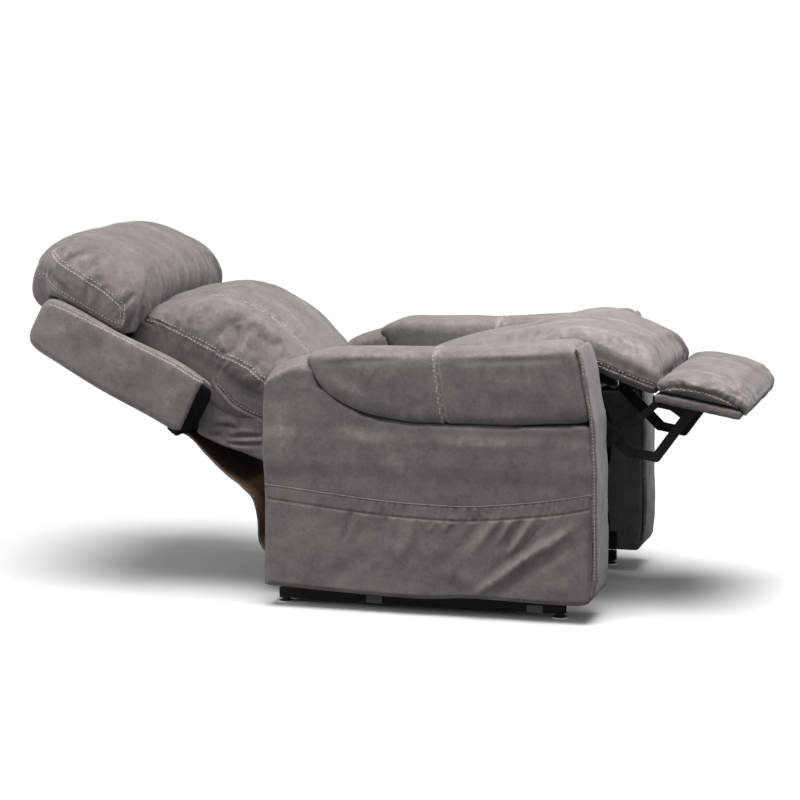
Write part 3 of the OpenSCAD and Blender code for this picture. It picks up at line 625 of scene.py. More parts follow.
    def done(self) -> bpy.types.Object:
        """Moves the points and keeps, for the finish, the places lightened along seams and crests: partly wear, partly
        a painted highlight.

        Returns:
            The piece.
        """
        self.co = self.co + self.shift * MM + self.normals * (self.offset * MM)[:, None]
        set_points(self.obj, self.co)
        layer = self.obj.data.attributes.get("wear_and_highlight") or self.obj.data.attributes.new("wear_and_highlight", "FLOAT", "POINT")
        layer.data.foreach_set("value", self.wear_and_highlight.astype(np.float32))
        self.tree = self._tree()
        return self.obj


@dataclass
class Thread:
    """The sewing thread and how a row of stitches is made of it."""

    radius: float = 0.85
    length: float = 6.4
    pitch: float = 9.4
    lift: float = 0.35
    rows: list[tuple[np.ndarray, np.ndarray]] = field(default_factory=list)

    def row(self, relief: Relief, line: np.ndarray, beside: float = 0.0, towards: Point3 | None = None) -> None:
        """Adds a row of stitches.

        Args:
            relief: the finished surface.
            line: the seam that the row follows.
            beside: how far beside the seam, in millimetres.
            towards: the direction of that side.
        """
        even = evened(line, 0.5 * self.pitch * MM)
        for i in range(1, len(even) - 1, 2):
            way = unit(even[i + 1] - even[i - 1])
            place, normal, _face, _gap = relief.tree.find_nearest(Vector(even[i]))
            n = np.array(normal)
            across = unit(np.cross(way, n))
            if towards is not None and across @ np.array(towards, float) < 0:
                across = -across
            if beside:
                place, normal, _face, _gap = relief.tree.find_nearest(Vector(np.array(place) + across * beside * MM))
                n = np.array(normal)
            centre = np.array(place) + n * self.lift * MM
            self.rows.append((centre, np.stack([way, unit(np.cross(n, way)), n])))

    def beside(self, relief: Relief, lines: Sequence[np.ndarray], distance: float, ways: Sequence[Point3]) -> None:
        """Adds rows of stitches beside seams.

        Args:
            relief: the finished surface.
            lines: the seams.
            distance: how far beside them, in millimetres.
            ways: the direction of each side that has a row.
        """
        for line in lines:
            for way in ways:
                self.row(relief, line, distance, way)

    def piece(self, name: str) -> bpy.types.Object:
        """Makes one mesh of every stitch so far.

        Args:
            name: the piece's name.

        Returns:
            The piece.
        """
        sides, half = 6, 0.5 * self.length
        profile = [(-half, 0.25, -0.7), (-0.7 * half, 0.9, -0.1), (0.0, 1.0, 0.15), (0.7 * half, 0.9, -0.1),
                   (half, 0.25, -0.7)]
        base = np.array([(s, r * self.radius * math.cos(2 * math.pi * j / sides),
                          r * self.radius * math.sin(2 * math.pi * j / sides) + drop * self.radius)
                         for s, r, drop in profile for j in range(sides)]) * MM
        faces = ring_faces(len(profile), sides)
        verts, all_faces = [], []
        for centre, axes in self.rows:
            start = len(verts) * len(base)
            verts.append(centre + base @ axes)
            all_faces += [tuple(k + start for k in f) for f in faces]
        self.rows = []
        return new_object(name, np.concatenate(verts), all_faces)


@dataclass(frozen=True)
class Station:
    """A cross-section of a stuffed form: its under and upper side-view points and its half width."""

    under: Point2
    upper: Point2
    half: float


def stations(frame: SideFrame, half: float, rows: Sequence[StationRow]) -> list[Station]:
    """Reads stations from rows of numbers.

    Args:
        frame: the frame of their points.
        half: the form's half width.
        rows: each one's under point, its upper point and how much narrower it is, in millimetres.

    Returns:
        The stations.
    """
    return [Station(frame.at(a, b), frame.at(c, d), half - cut) for a, b, c, d, cut in rows]


@dataclass
class SoftForm:
    """A stuffed form through its stations: a boxed lower part up to its shoulder and a crown above."""

    rows: list[Station]
    squareness: float
    x_mid: float = 0.0
    voxel: float = 0.0075
    shoulder: float = 0.5
    boxed: float = 0.3
    smooth: int = 4
    sides: int = 96

    def build(self, name: str) -> bpy.types.Object:
        """Makes the even mesh.

        Args:
            name: the piece's name.

        Returns:
            The piece.
        """
        rows = curve_through(np.array([[*s.under, *s.upper, s.half] for s in self.rows]), 8)
        rings = []
        for uf, uz, tf, tz, half in rows:
            for j in range(self.sides):
                a = 2 * math.pi * (j + 0.5) / self.sides
                c, s = math.cos(a), math.sin(a)
                e = self.squareness if s > 0 else self.boxed
                h = self.shoulder + (1 - self.shoulder if s > 0 else -self.shoulder) * abs(s) ** e
                x = self.x_mid + half * math.copysign(abs(c) ** e, c)
                rings.append(placed(x, (uf + (tf - uf) * h, uz + (tz - uz) * h)))
        obj = new_object(name, np.array(rings), ring_faces(len(rows), self.sides))
        return remeshed(obj, self.voxel, self.smooth)


def slab_form(name: str, outline: Sequence[Point2], x0: float, x1: float, voxel: float,
              smooth: int) -> bpy.types.Object:
    """A padded slab between two lateral planes.

    Args:
        name: the piece's name.
        outline: its closed side-view outline.
        x0: one lateral plane in millimetres.
        x1: the other.
        voxel: the size of a quad in metres.
        smooth: rounds of smoothing, which round its edges.

    Returns:
        The piece.
    """
    verts = [placed(x, p) for x in (min(x0, x1), max(x0, x1)) for p in outline]
    return remeshed(new_object(name, np.array(verts), ring_faces(2, len(outline))), voxel, smooth)


# ---------- finishes


def node_group(name: str, inputs: dict[str, float], outputs: Sequence[str],
               make: Callable[[bpy.types.NodeTree, bpy.types.Node, bpy.types.Node], None]) -> bpy.types.NodeTree:
    """Makes a shader node group once.

    Args:
        name: the group's name.
        inputs: names and starting values of its number inputs.
        outputs: names of its number outputs.
        make: fills the group, given the tree and its input and output nodes.

    Returns:
        The group.
    """
    found = bpy.data.node_groups.get(name)
    if found:
        return found
    tree = bpy.data.node_groups.new(name, "ShaderNodeTree")
    for key, value in inputs.items():
        socket = tree.interface.new_socket(key, in_out="INPUT", socket_type="NodeSocketFloat")
        socket.default_value = value
    for key in outputs:
        tree.interface.new_socket(key, in_out="OUTPUT", socket_type="NodeSocketFloat")
    make(tree, tree.nodes.new("NodeGroupInput"), tree.nodes.new("NodeGroupOutput"))
    return tree


def noise_node(tree: bpy.types.NodeTree, scale: float, detail: float, rough: float = 0.55,
               distortion: float = 0.0) -> bpy.types.Node:
    """A noise texture on object coordinates.

    Args:
        tree: the tree to put it in.
        scale: waves in a metre.
        detail: its detail.
        rough: its roughness.
        distortion: its distortion.

    Returns:
        The noise node.
    """
    coords = tree.nodes.new("ShaderNodeTexCoord")
    node = tree.nodes.new("ShaderNodeTexNoise")
    node.inputs["Scale"].default_value = scale
    node.inputs["Detail"].default_value = detail
    node.inputs["Roughness"].default_value = rough
    node.inputs["Distortion"].default_value = distortion
    tree.links.new(coords.outputs["Object"], node.inputs["Vector"])
    return node


def maths(tree: bpy.types.NodeTree, operation: str, a: object, b: object,
          clamp: bool = False) -> bpy.types.NodeSocket:
    """A math node.

    Args:
        tree: the tree to put it in.
        operation: its operation.
        a: a socket or a number.
        b: a socket or a number.
        clamp: whether the result stays between 0 and 1.

    Returns:
        Its output.
    """
    node = tree.nodes.new("ShaderNodeMath")
    node.operation = operation
    node.use_clamp = clamp
    for socket, value in zip(node.inputs, (a, b)):
        if isinstance(value, bpy.types.NodeSocket):
            tree.links.new(value, socket)
        else:
            socket.default_value = value
    return node.outputs[0]


def spread(tree: bpy.types.NodeTree, value: bpy.types.NodeSocket, low: float, high: float,
           to_low: float = 0.0, to_high: float = 1.0) -> bpy.types.NodeSocket:
    """Maps a value smoothly from one range to another.

    Args:
        tree: the tree to put it in.
        value: the value.
        low: the value that gives to_low.
        high: the value that gives to_high.
        to_low: the lowest result.
        to_high: the highest result.

    Returns:
        The mapped value.
    """
    node = tree.nodes.new("ShaderNodeMapRange")
    node.interpolation_type = "SMOOTHSTEP"
    for key, number in (("From Min", low), ("From Max", high), ("To Min", to_low), ("To Max", to_high)):
        node.inputs[key].default_value = number
    tree.links.new(value, node.inputs["Value"])
    return node.outputs[0]


def clouds_group() -> bpy.types.NodeTree:
    """Soft mottling: large clouds broken by smaller ones."""
    def make(tree: bpy.types.NodeTree, inp: bpy.types.Node, out: bpy.types.Node) -> None:
        """Fills the group."""
        large = noise_node(tree, 7.0, 3.0, 0.6, 0.5)
        small = noise_node(tree, 32.0, 5.0, 0.68, 0.3)
        tree.links.new(inp.outputs["Scale"], large.inputs["Scale"])
        tree.links.new(maths(tree, "MULTIPLY", inp.outputs["Scale"], 4.6), small.inputs["Scale"])
        mixed = maths(tree, "ADD", maths(tree, "MULTIPLY", large.outputs["Fac"], 0.55),
                      maths(tree, "MULTIPLY", small.outputs["Fac"], 0.45))
        tree.links.new(spread(tree, mixed, 0.36, 0.64), out.inputs["Mask"])
    return node_group("soft_clouds", {"Scale": 7.0}, ["Mask"], make)


def grain_group() -> bpy.types.NodeTree:
    """Fine grain or nap: a height and a mask."""
    def make(tree: bpy.types.NodeTree, inp: bpy.types.Node, out: bpy.types.Node) -> None:
        """Fills the group."""
        fine = noise_node(tree, 700.0, 2.0, 0.6)
        pebble = noise_node(tree, 240.0, 3.0, 0.6, 0.8)
        tree.links.new(inp.outputs["Scale"], fine.inputs["Scale"])
        tree.links.new(maths(tree, "MULTIPLY", inp.outputs["Scale"], 0.33), pebble.inputs["Scale"])
        height = maths(tree, "ADD", maths(tree, "MULTIPLY", fine.outputs["Fac"], 0.4),
                       maths(tree, "MULTIPLY", pebble.outputs["Fac"], 0.6))
        tree.links.new(height, out.inputs["Height"])
        tree.links.new(spread(tree, pebble.outputs["Fac"], 0.38, 0.62), out.inputs["Mask"])
    return node_group("fine_grain", {"Scale": 700.0}, ["Height", "Mask"], make)


def highlight_places_group() -> bpy.types.NodeTree:
    """Where a surface is lightened along seams and fold crests, broken by noise: partly wear, partly a painted
    highlight.
    """
    def make(tree: bpy.types.NodeTree, inp: bpy.types.Node, out: bpy.types.Node) -> None:
        """Fills the group."""
        layer = tree.nodes.new("ShaderNodeAttribute")
        layer.attribute_name = "wear_and_highlight"
        patchy = noise_node(tree, 60.0, 4.0, 0.7)
        broken = maths(tree, "MULTIPLY", layer.outputs["Fac"], spread(tree, patchy.outputs["Fac"], 0.35, 0.6))
        tree.links.new(maths(tree, "MULTIPLY", broken, inp.outputs["Amount"], True), out.inputs["Mask"])
    return node_group("painted_highlight_places", {"Amount": 1.0}, ["Mask"], make)


def scuffs_group() -> bpy.types.NodeTree:
    """Thin scattered scuffs."""
    def make(tree: bpy.types.NodeTree, inp: bpy.types.Node, out: bpy.types.Node) -> None:
        """Fills the group."""
        streak = noise_node(tree, 90.0, 6.0, 0.75, 1.6)
        tree.links.new(inp.outputs["Scale"], streak.inputs["Scale"])
        tree.links.new(spread(tree, streak.outputs["Fac"], 0.6, 0.72), out.inputs["Mask"])
    return node_group("thin_scuffs", {"Scale": 90.0}, ["Mask"], make)


def weave_group() -> bpy.types.NodeTree:
    """A plain weave: crossed threads as a height."""
    def make(tree: bpy.types.NodeTree, inp: bpy.types.Node, out: bpy.types.Node) -> None:
        """Fills the group."""
        coords = tree.nodes.new("ShaderNodeTexCoord")
        waves = []
        for way in ("X", "Y", "Z"):
            wave = tree.nodes.new("ShaderNodeTexWave")
            wave.bands_direction = way
            wave.inputs["Distortion"].default_value = 1.2
            wave.inputs["Detail"].default_value = 1.0
            tree.links.new(coords.outputs["Object"], wave.inputs["Vector"])
            tree.links.new(inp.outputs["Scale"], wave.inputs["Scale"])
            waves.append(wave.outputs["Fac"])
        height = maths(tree, "MULTIPLY", maths(tree, "ADD", maths(tree, "ADD", waves[0], waves[1]), waves[2]), 0.34)
        tree.links.new(height, out.inputs["Height"])
    return node_group("plain_weave", {"Scale": 160.0}, ["Height"], make)


def grown_group() -> bpy.types.NodeTree:
    """Timber's long grain as a mask."""
    def make(tree: bpy.types.NodeTree, inp: bpy.types.Node, out: bpy.types.Node) -> None:
        """Fills the group."""
        coords = tree.nodes.new("ShaderNodeTexCoord")
        long = tree.nodes.new("ShaderNodeMapping")
        long.inputs["Scale"].default_value = (6.0, 1.0, 6.0)
        rings = tree.nodes.new("ShaderNodeTexNoise")
        rings.inputs["Detail"].default_value = 6.0
        rings.inputs["Distortion"].default_value = 1.0
        tree.links.new(coords.outputs["Object"], long.inputs["Vector"])
        tree.links.new(long.outputs["Vector"], rings.inputs["Vector"])
        tree.links.new(inp.outputs["Scale"], rings.inputs["Scale"])
        tree.links.new(spread(tree, rings.outputs["Fac"], 0.35, 0.65), out.inputs["Mask"])
    return node_group("long_grain", {"Scale": 9.0}, ["Mask"], make)


@dataclass
class MaterialBench:
    """A material being made: its tree, its shader and short ways to add to it."""

    name: str
    material: bpy.types.Material = field(init=False)
    tree: bpy.types.NodeTree = field(init=False)
    shader: bpy.types.Node = field(init=False)

    def __post_init__(self) -> None:
        """Makes the empty material."""
        self.material = bpy.data.materials.new(self.name)
        self.material.use_nodes = True
        self.tree = self.material.node_tree
        self.shader = next(n for n in self.tree.nodes if n.type == "BSDF_PRINCIPLED")

    def group(self, tree: bpy.types.NodeTree, **values: float) -> bpy.types.Node:
        """Places a node group with its own values."""
        node = self.tree.nodes.new("ShaderNodeGroup")
        node.node_tree = tree
        for key, value in values.items():
            node.inputs[key].default_value = value
        return node

    def mix(self, mask: bpy.types.NodeSocket, a: object, b: object) -> bpy.types.NodeSocket:
        """Mixes two colours by a mask.

        Args:
            mask: the mask.
            a: a colour or a socket, where the mask is 0.
            b: a colour or a socket, where it is 1.

        Returns:
            The mixed colour.
        """
        node = self.tree.nodes.new("ShaderNodeMix")
        node.data_type = "RGBA"
        self.tree.links.new(mask, node.inputs["Factor"])
        for socket, value in ((node.inputs[6], a), (node.inputs[7], b)):
            if isinstance(value, bpy.types.NodeSocket):
                self.tree.links.new(value, socket)
            else:
                socket.default_value = (*value, 1.0)
        return node.outputs[2]

    def feed(self, key: str, value: bpy.types.NodeSocket) -> None:
        """Links a value to one of the shader's sockets."""
        self.tree.links.new(value, self.shader.inputs[key])

    def bump(self, height: bpy.types.NodeSocket, strength: float, distance: float,
             before: bpy.types.NodeSocket | None = None) -> bpy.types.NodeSocket:
        """Adds a bump.

        Args:
            height: the height.
            strength: the bump's strength.
            distance: its depth in metres.
            before: the normal of a coarser bump.

        Returns:
            The bumped normal.
        """
        node = self.tree.nodes.new("ShaderNodeBump")
        node.inputs["Strength"].default_value = strength
        node.inputs["Distance"].default_value = distance
        self.tree.links.new(height, node.inputs["Height"])
        if before is not None:
            self.tree.links.new(before, node.inputs["Normal"])
        return node.outputs["Normal"]


@dataclass(frozen=True)
class SuedeFinish:
    """Brushed faux suede: a mottled warm grey nap, paler along seams and fold crests, partly as wear and partly as a
    painted highlight.
    """

    name: str
    dark: Colour
    body: Colour
    pale: Colour
    cloud: float = 7.0
    sheen: float = 0.12
    blot: float = 0.30

    def make(self) -> bpy.types.Material:
        """Makes the material."""
        bench = MaterialBench(self.name)
        clouds = bench.group(clouds_group(), Scale=self.cloud).outputs["Mask"]
        blots = bench.group(clouds_group(), Scale=self.cloud * 3.1).outputs["Mask"]
        grain = bench.group(grain_group(), Scale=820.0)
        wear_and_highlight = bench.group(highlight_places_group(), Amount=0.55).outputs["Mask"]
        scuff = bench.group(scuffs_group(), Scale=38.0).outputs["Mask"]
        colour = bench.mix(clouds, self.dark, self.body)
        half = maths(bench.tree, "MULTIPLY", blots, self.blot)
        colour = bench.mix(half, colour, self.pale)
        colour = bench.mix(maths(bench.tree, "MULTIPLY", scuff, 0.35), colour, self.pale)
        colour = bench.mix(maths(bench.tree, "MULTIPLY", grain.outputs["Mask"], 0.22), colour, self.dark)
        # Lighter than the pale tone along seams and fold crests: partly wear, partly a painted highlight.
        colour = bench.mix(wear_and_highlight, colour, tuple(1.35 * c for c in self.pale))
        bench.feed("Base Color", colour)
        bench.feed("Roughness", spread(bench.tree, blots, 0.0, 1.0, 0.78, 0.62))
        first = bench.bump(blots, 0.25, 0.0012)
        bench.feed("Normal", bench.bump(grain.outputs["Height"], 0.45, 0.0007, first))
        bench.shader.inputs["Sheen Weight"].default_value = self.sheen
        bench.shader.inputs["Sheen Roughness"].default_value = 0.45
        bench.shader.inputs["Specular IOR Level"].default_value = 0.35
        return bench.material


@dataclass(frozen=True)
class ClothFinish:
    """A woven cloth, webbing or thread."""

    name: str
    dark: Colour
    pale: Colour
    scale: float
    roughness: float = 0.85
    specular: float = 0.3

    def make(self) -> bpy.types.Material:
        """Makes the material."""
        bench = MaterialBench(self.name)
        weave = bench.group(weave_group(), Scale=self.scale).outputs["Height"]
        clouds = bench.group(clouds_group(), Scale=11.0).outputs["Mask"]
        colour = bench.mix(weave, self.dark, self.pale)
        bench.feed("Base Color", bench.mix(maths(bench.tree, "MULTIPLY", clouds, 0.3), colour, self.dark))
        bench.feed("Roughness", spread(bench.tree, clouds, 0.0, 1.0, self.roughness, self.roughness - 0.12))
        bench.feed("Normal", bench.bump(weave, 0.5, 0.0005))
        bench.shader.inputs["Specular IOR Level"].default_value = self.specular
        return bench.material


@dataclass(frozen=True)
class PaintFinish:
    """Paint, plating or plastic: a body colour with scuffs, fine texture and a little dust."""

    name: str
    body: Colour
    scuffed: Colour
    roughness: float
    metallic: float = 0.0
    texture: float = 900.0
    relief: float = 0.12
    specular: float = 0.5

    def make(self) -> bpy.types.Material:
        """Makes the material."""
        bench = MaterialBench(self.name)
        clouds = bench.group(clouds_group(), Scale=16.0).outputs["Mask"]
        scuff = bench.group(scuffs_group(), Scale=85.0).outputs["Mask"]
        grain = bench.group(grain_group(), Scale=self.texture)
        colour = bench.mix(maths(bench.tree, "MULTIPLY", clouds, 0.35), self.body, self.scuffed)
        bench.feed("Base Color", bench.mix(maths(bench.tree, "MULTIPLY", scuff, 0.5), colour, self.scuffed))
        bench.feed("Roughness", spread(bench.tree, clouds, 0.0, 1.0, self.roughness, min(1.0, self.roughness + 0.16)))
        bench.feed("Normal", bench.bump(grain.outputs["Height"], self.relief, 0.0003))
        bench.shader.inputs["Metallic"].default_value = self.metallic
        bench.shader.inputs["Specular IOR Level"].default_value = self.specular
        return bench.material


@dataclass(frozen=True)
class TimberFinish:
    """Planed softwood and plywood."""

    name: str
    pale: Colour
    dark: Colour

    def make(self) -> bpy.types.Material:
        """Makes the material."""
        bench = MaterialBench(self.name)
        grain = bench.group(grown_group(), Scale=9.0).outputs["Mask"]
        fine = bench.group(grain_group(), Scale=500.0)
        bench.feed("Base Color", bench.mix(grain, self.pale, self.dark))
        bench.feed("Roughness", spread(bench.tree, grain, 0.0, 1.0, 0.55, 0.75))
        bench.feed("Normal", bench.bump(fine.outputs["Height"], 0.25, 0.0005))
        return bench.material


@dataclass(frozen=True)
class GlideFinish:
    """A floor glide: a pale sole under a black cup."""

    name: str
    sole: Colour
    cup: Colour
    sole_height: float

    def make(self) -> bpy.types.Material:
        """Makes the material."""
        bench = MaterialBench(self.name)
        coords = bench.tree.nodes.new("ShaderNodeTexCoord")
        split = bench.tree.nodes.new("ShaderNodeSeparateXYZ")
        bench.tree.links.new(coords.outputs["Object"], split.inputs[0])
        upper = spread(bench.tree, split.outputs["Z"], self.sole_height - 0.0004, self.sole_height + 0.0004)
        scuff = bench.group(scuffs_group(), Scale=120.0).outputs["Mask"]
        cup = bench.mix(maths(bench.tree, "MULTIPLY", scuff, 0.3), self.cup, tuple(3.0 * c for c in self.cup))
        bench.feed("Base Color", bench.mix(upper, self.sole, cup))
        bench.feed("Roughness", spread(bench.tree, scuff, 0.0, 1.0, 0.35, 0.55))
        return bench.material


class Slot(Enum):
    """The record's material slots and the finish of each."""

    SUEDE = SuedeFinish("brushed_suede", (0.079, 0.068, 0.063), (0.120, 0.105, 0.098), (0.193, 0.172, 0.162))
    BACKING = ClothFinish("brown_backing_cloth", (0.085, 0.046, 0.027), (0.16, 0.092, 0.058), 150.0)
    # Far darker and less shiny than real black cloth: partly a real black cloth, partly painted shade of recesses.
    LINING_AND_SHADE = ClothFinish("black_lining_cloth", (0.003, 0.003, 0.003), (0.008, 0.0075, 0.0075), 220.0, 0.95, 0.08)
    WEBBING = ClothFinish("jute_webbing", (0.22, 0.17, 0.11), (0.42, 0.35, 0.25), 110.0)
    TIMBER = TimberFinish("planed_timber", (0.52, 0.36, 0.20), (0.34, 0.21, 0.11))
    BLACK_STEEL = PaintFinish("black_powder_coat", (0.005, 0.005, 0.0055), (0.014, 0.014, 0.015), 0.42, specular=0.25)
    BRIGHT_STEEL = PaintFinish("bright_steel", (0.62, 0.63, 0.65), (0.45, 0.46, 0.48), 0.22, 1.0)
    ZINC = PaintFinish("zinc_plate", (0.12, 0.125, 0.125), (0.19, 0.195, 0.195), 0.50, 0.35)
    BLACK_PLASTIC = PaintFinish("black_plastic", (0.020, 0.020, 0.021), (0.045, 0.045, 0.047), 0.48)
    GREY_PLASTIC = PaintFinish("grey_plastic", (0.32, 0.33, 0.34), (0.42, 0.43, 0.44), 0.45)
    GLIDE_PLASTIC = GlideFinish("glide_plastic", (0.72, 0.72, 0.71), (0.012, 0.012, 0.013), 0.0035)


SLOT_NAMES = {Slot.SUEDE: "suede", Slot.BACKING: "backing_cloth", Slot.LINING_AND_SHADE: "backing_cloth",
              Slot.WEBBING: "webbing", Slot.TIMBER: "timber", Slot.BLACK_STEEL: "black_steel",
              Slot.BRIGHT_STEEL: "bright_steel", Slot.ZINC: "zinc",
              Slot.BLACK_PLASTIC: "black_plastic", Slot.GREY_PLASTIC: "grey_plastic",
              Slot.GLIDE_PLASTIC: "glide_plastic"}
SEWING_THREAD = ClothFinish("pale_sewing_thread", (0.34, 0.31, 0.28), (0.50, 0.47, 0.43), 900.0, 0.7)


class Finishes:
    """Makes each finish once and hands it out."""

    def __init__(self) -> None:
        """Starts with none made."""
        self.made: dict[str, bpy.types.Material] = {}

    def get(self, finish: SuedeFinish | ClothFinish | PaintFinish | TimberFinish | GlideFinish) -> bpy.types.Material:
        """The material of a finish."""
        if finish.name not in self.made:
            self.made[finish.name] = finish.make()
        return self.made[finish.name]

    def dress(self, obj: bpy.types.Object, slot: Slot) -> None:
        """Gives a piece one slot's finish.

        Args:
            obj: the piece.
            slot: the slot.
        """
        obj.data.materials.clear()
        obj.data.materials.append(self.get(slot.value))

    def sew(self, thread: Thread, name: str, body: str) -> None:
        """Makes a thread's rows into a piece that rides on a body.

        Args:
            thread: the thread with its rows.
            name: the piece's name.
            body: the body's name.
        """
        piece = thread.piece(name)
        piece.data.materials.append(self.get(SEWING_THREAD))
        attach(piece, body)
        LOG.info("sewn: %s", name)


# ---------- upholstery


UP: Point3 = (0.0, 0.0, 1.0)
DOWN: Point3 = (0.0, 0.0, -1.0)
OUT_OF_BACK: Point3 = tuple(BACK.outwards())
INTO_BACK: Point3 = tuple(-BACK.outwards())
ABOVE_Z = 760.0
ABOVE_BACK = 320.0
ABOVE_REST = 160.0
PRESSURE = 4.0
SPARE_CLOTH = 0.04


@dataclass
class Upholstery:
    """What every upholstered part shares: its finishes and how a piece is handed over."""

    finishes: Finishes

    def hand_over(self, obj: bpy.types.Object, body: str | None, nodes: Sequence[str] = (), fill: float | None = None,
                  slot: Slot = Slot.SUEDE) -> bpy.types.Object:
        """Dresses a finished piece, puts it on its body and hides the solids that it stands for.

        Args:
            obj: the piece.
            body: the body, or None where the piece is put on no body.
            nodes: the solids that it stands for.
            fill: how full it is stuffed, or None for a plain cover; not used.
            slot: its finish.

        Returns:
            The piece.
        """
        self.finishes.dress(obj, slot)
        if body:
            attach(obj, body)
        if nodes:
            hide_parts(*nodes)
        LOG.info("made: %s (%d points)", obj.name, len(obj.data.vertices))
        return obj


@dataclass(frozen=True)
class PocketShape:
    """A pocket in the side view: its top, its hem, its elastic band and the folds below."""

    top: tuple[Point2, ...] = ((-737, 313), (-567, 297), (-439, 286), (-337, 281), (-211, 282), (-86, 295), (13, 310),
                               (91, 326))
    hem: tuple[Point2, ...] = ((-739, 57), (-640, 52), (-520, 47), (-341, 43), (-240, 50), (-163, 51), (-33, 48),
                               (60, 49), (86, 56))
    columns: int = 330
    rows: int = 110
    thickness: float = 1.8
    most: float = 11.0
    folds: tuple[FoldRow, ...] = (
        (((34, 232), (-22, 194), (-84, 151), (-146, 100), (-212, 56)), 9.0, 13.0),
        (((66, 205), (10, 170), (-52, 127), (-118, 78), (-170, 50)), -6.0, 16.0),
        (((10, 236), (-60, 190), (-120, 146), (-180, 98)), -4.0, 14.0), (((58, 250), (14, 214), (-20, 176)), 3.0, 10.0),
        (((-45, 264), (-70, 231), (-99, 185), (-112, 160)), 5.6, 8.0),
        (((-22, 256), (-48, 218), (-84, 164)), -4.6, 9.0),
        (((-97, 260), (-117, 234), (-140, 190)), 5.4, 8.0), (((-76, 256), (-96, 222), (-120, 176)), -4.6, 8.0),
        (((-134, 259), (-164, 221), (-208, 162)), 6.4, 13.0), (((-176, 258), (-200, 222), (-246, 168)), -4.6, 14.0),
        (((-250, 258), (-262, 236), (-280, 212)), 3.2, 8.0), (((-290, 256), (-300, 234), (-318, 208)), 3.0, 8.0),
        (((-350, 250), (-364, 205), (-376, 172), (-400, 134)), 5.6, 21.0),
        (((-296, 240), (-330, 190), (-376, 124)), -3.4, 24.0), (((-431, 254), (-438, 199), (-447, 132)), -4.4, 17.0),
        (((-402, 250), (-410, 200), (-420, 146)), 3.0, 13.0), (((-510, 262), (-520, 220), (-532, 178)), -5.2, 7.0),
        (((-494, 262), (-502, 215), (-510, 170)), 2.8, 11.0), (((-640, 240), (-600, 180), (-520, 110)), 2.4, 34.0),
        (((-300, 120), (-220, 96), (-160, 80)), 2.6, 20.0), (((-600, 140), (-560, 100), (-500, 80)), -2.0, 30.0),
        (((-60, 96), (0, 84), (60, 90)), 2.2, 22.0), (((-700, 180), (-690, 120), (-690, 80)), 1.8, 26.0))

    def rise(self, f: np.ndarray, z: np.ndarray, down: np.ndarray) -> np.ndarray:
        """How far the cloth stands out: the band's gathers, its rolled edge and the folds below.

        Args:
            f: the points' forward values.
            z: their heights.
            down: how far they lie under the top edge.

        Returns:
            The rise in millimetres.
        """
        strong = 0.3 + 0.7 * step(f, -540, -380) * (1 - step(f, -40, 50))
        phase = f / 21.0 * math.pi + 1.5 * np.sin(f / 57.0) + 0.9 * np.sin(f / 23.0) + 0.5 * np.sin(f / 11.0)
        deep = 0.6 + 0.4 * np.sin(f / 37.0 + 1.0)
        pleat = np.abs(np.sin(phase)) ** 0.6 - 0.72
        in_band = step(down, 2, 7) * (1 - step(down, 29, 36))
        below = step(down, 39, 46) * np.exp(-np.clip(down - 42, 0, None) / 30.0)
        rise = 4.6 * pleat * strong * deep * in_band
        rise += 3.4 * (np.abs(np.sin(phase * 0.5 + 0.8)) ** 0.8 - 0.6) * strong * below
        rise -= 2.6 * np.exp(-((down - 37.5) / 2.6) ** 2) + 0.8 * np.exp(-((down - 4.5) / 2.2) ** 2)
        rise += 1.4 * np.exp(-((down - 1.0) / 2.4) ** 2)
        rise += 0.8 * np.sin(phase * 2.0) * strong * np.exp(-((down - 1.0) / 4.0) ** 2)
        for line, peak, width in self.folds:
            p = evened(np.array([(a, b, 0.0) for a, b in curve_through(np.array(line, float), 5)]), 9.0)[:, :2]
            best, along = np.full(len(f), 1e9), np.zeros(len(f))
            for i in range(len(p) - 1):
                ab = p[i + 1] - p[i]
                t = np.clip(((f - p[i][0]) * ab[0] + (z - p[i][1]) * ab[1]) / (ab @ ab), 0, 1)
                d = np.hypot(f - p[i][0] - t * ab[0], z - p[i][1] - t * ab[1])
                closer = d < best
                best[closer], along[closer] = d[closer], (i + t[closer]) / (len(p) - 1)
            rise += peak * np.sin(np.clip(along, 0.02, 0.98) * math.pi) ** 0.7 * np.exp(-(best / width) ** 2)
        return rise + 1.3 * soft_noise(np.stack([f, z, 0 * f], 1) * MM, 0.16, 5)

    def surface(self, inmost: float, outer: float) -> tuple[np.ndarray, np.ndarray]:
        """The cloth's outer points.

        Args:
            inmost: the lateral place that it never goes behind.
            outer: the lateral place of its plain parts.

        Returns:
            The points as (x, forward, up) in millimetres, column by column, and how much each one is lightened, partly
            as wear and partly as a painted highlight.
        """
        fs, vs = np.linspace(0.0, 1.0, self.columns), np.linspace(0.0, 1.0, self.rows)
        upper, lower = (spaced(curve_through(np.array(line, float), 8), fs) for line in (self.top, self.hem))
        grid = upper[:, None, :] * (1 - vs)[None, :, None] + lower[:, None, :] * vs[None, :, None]
        f, z = grid[..., 0].ravel(), grid[..., 1].ravel()
        height = (upper[:, 1] - lower[:, 1])[:, None] * np.ones(self.rows)[None, :]
        down = (height * vs[None, :]).ravel()
        edge = np.minimum.reduce([step(f, -739, -724), step(-f, -92, -78),
                                  step((height * (1 - vs[None, :])).ravel(), 0, 12)])
        rise = self.rise(f, z, down)
        bulge = 2.5 * step(down, 60, 130) * edge
        x = outer - 3.0 + (rise * np.minimum(1.0, edge + 0.12) + bulge - 5.0 * (1 - edge) ** 2 * (down > 8))
        x = np.clip(x, inmost, outer + self.most)
        # Fold crests and the band's top rim are lightened: partly wear, partly a painted highlight.
        wear_and_highlight = np.clip((rise - 2.5) / 7.0, 0, 1) * 0.8 + 0.7 * np.exp(-((down - 1.0) / 1.6) ** 2)
        return np.stack([x, f, z], 1), wear_and_highlight

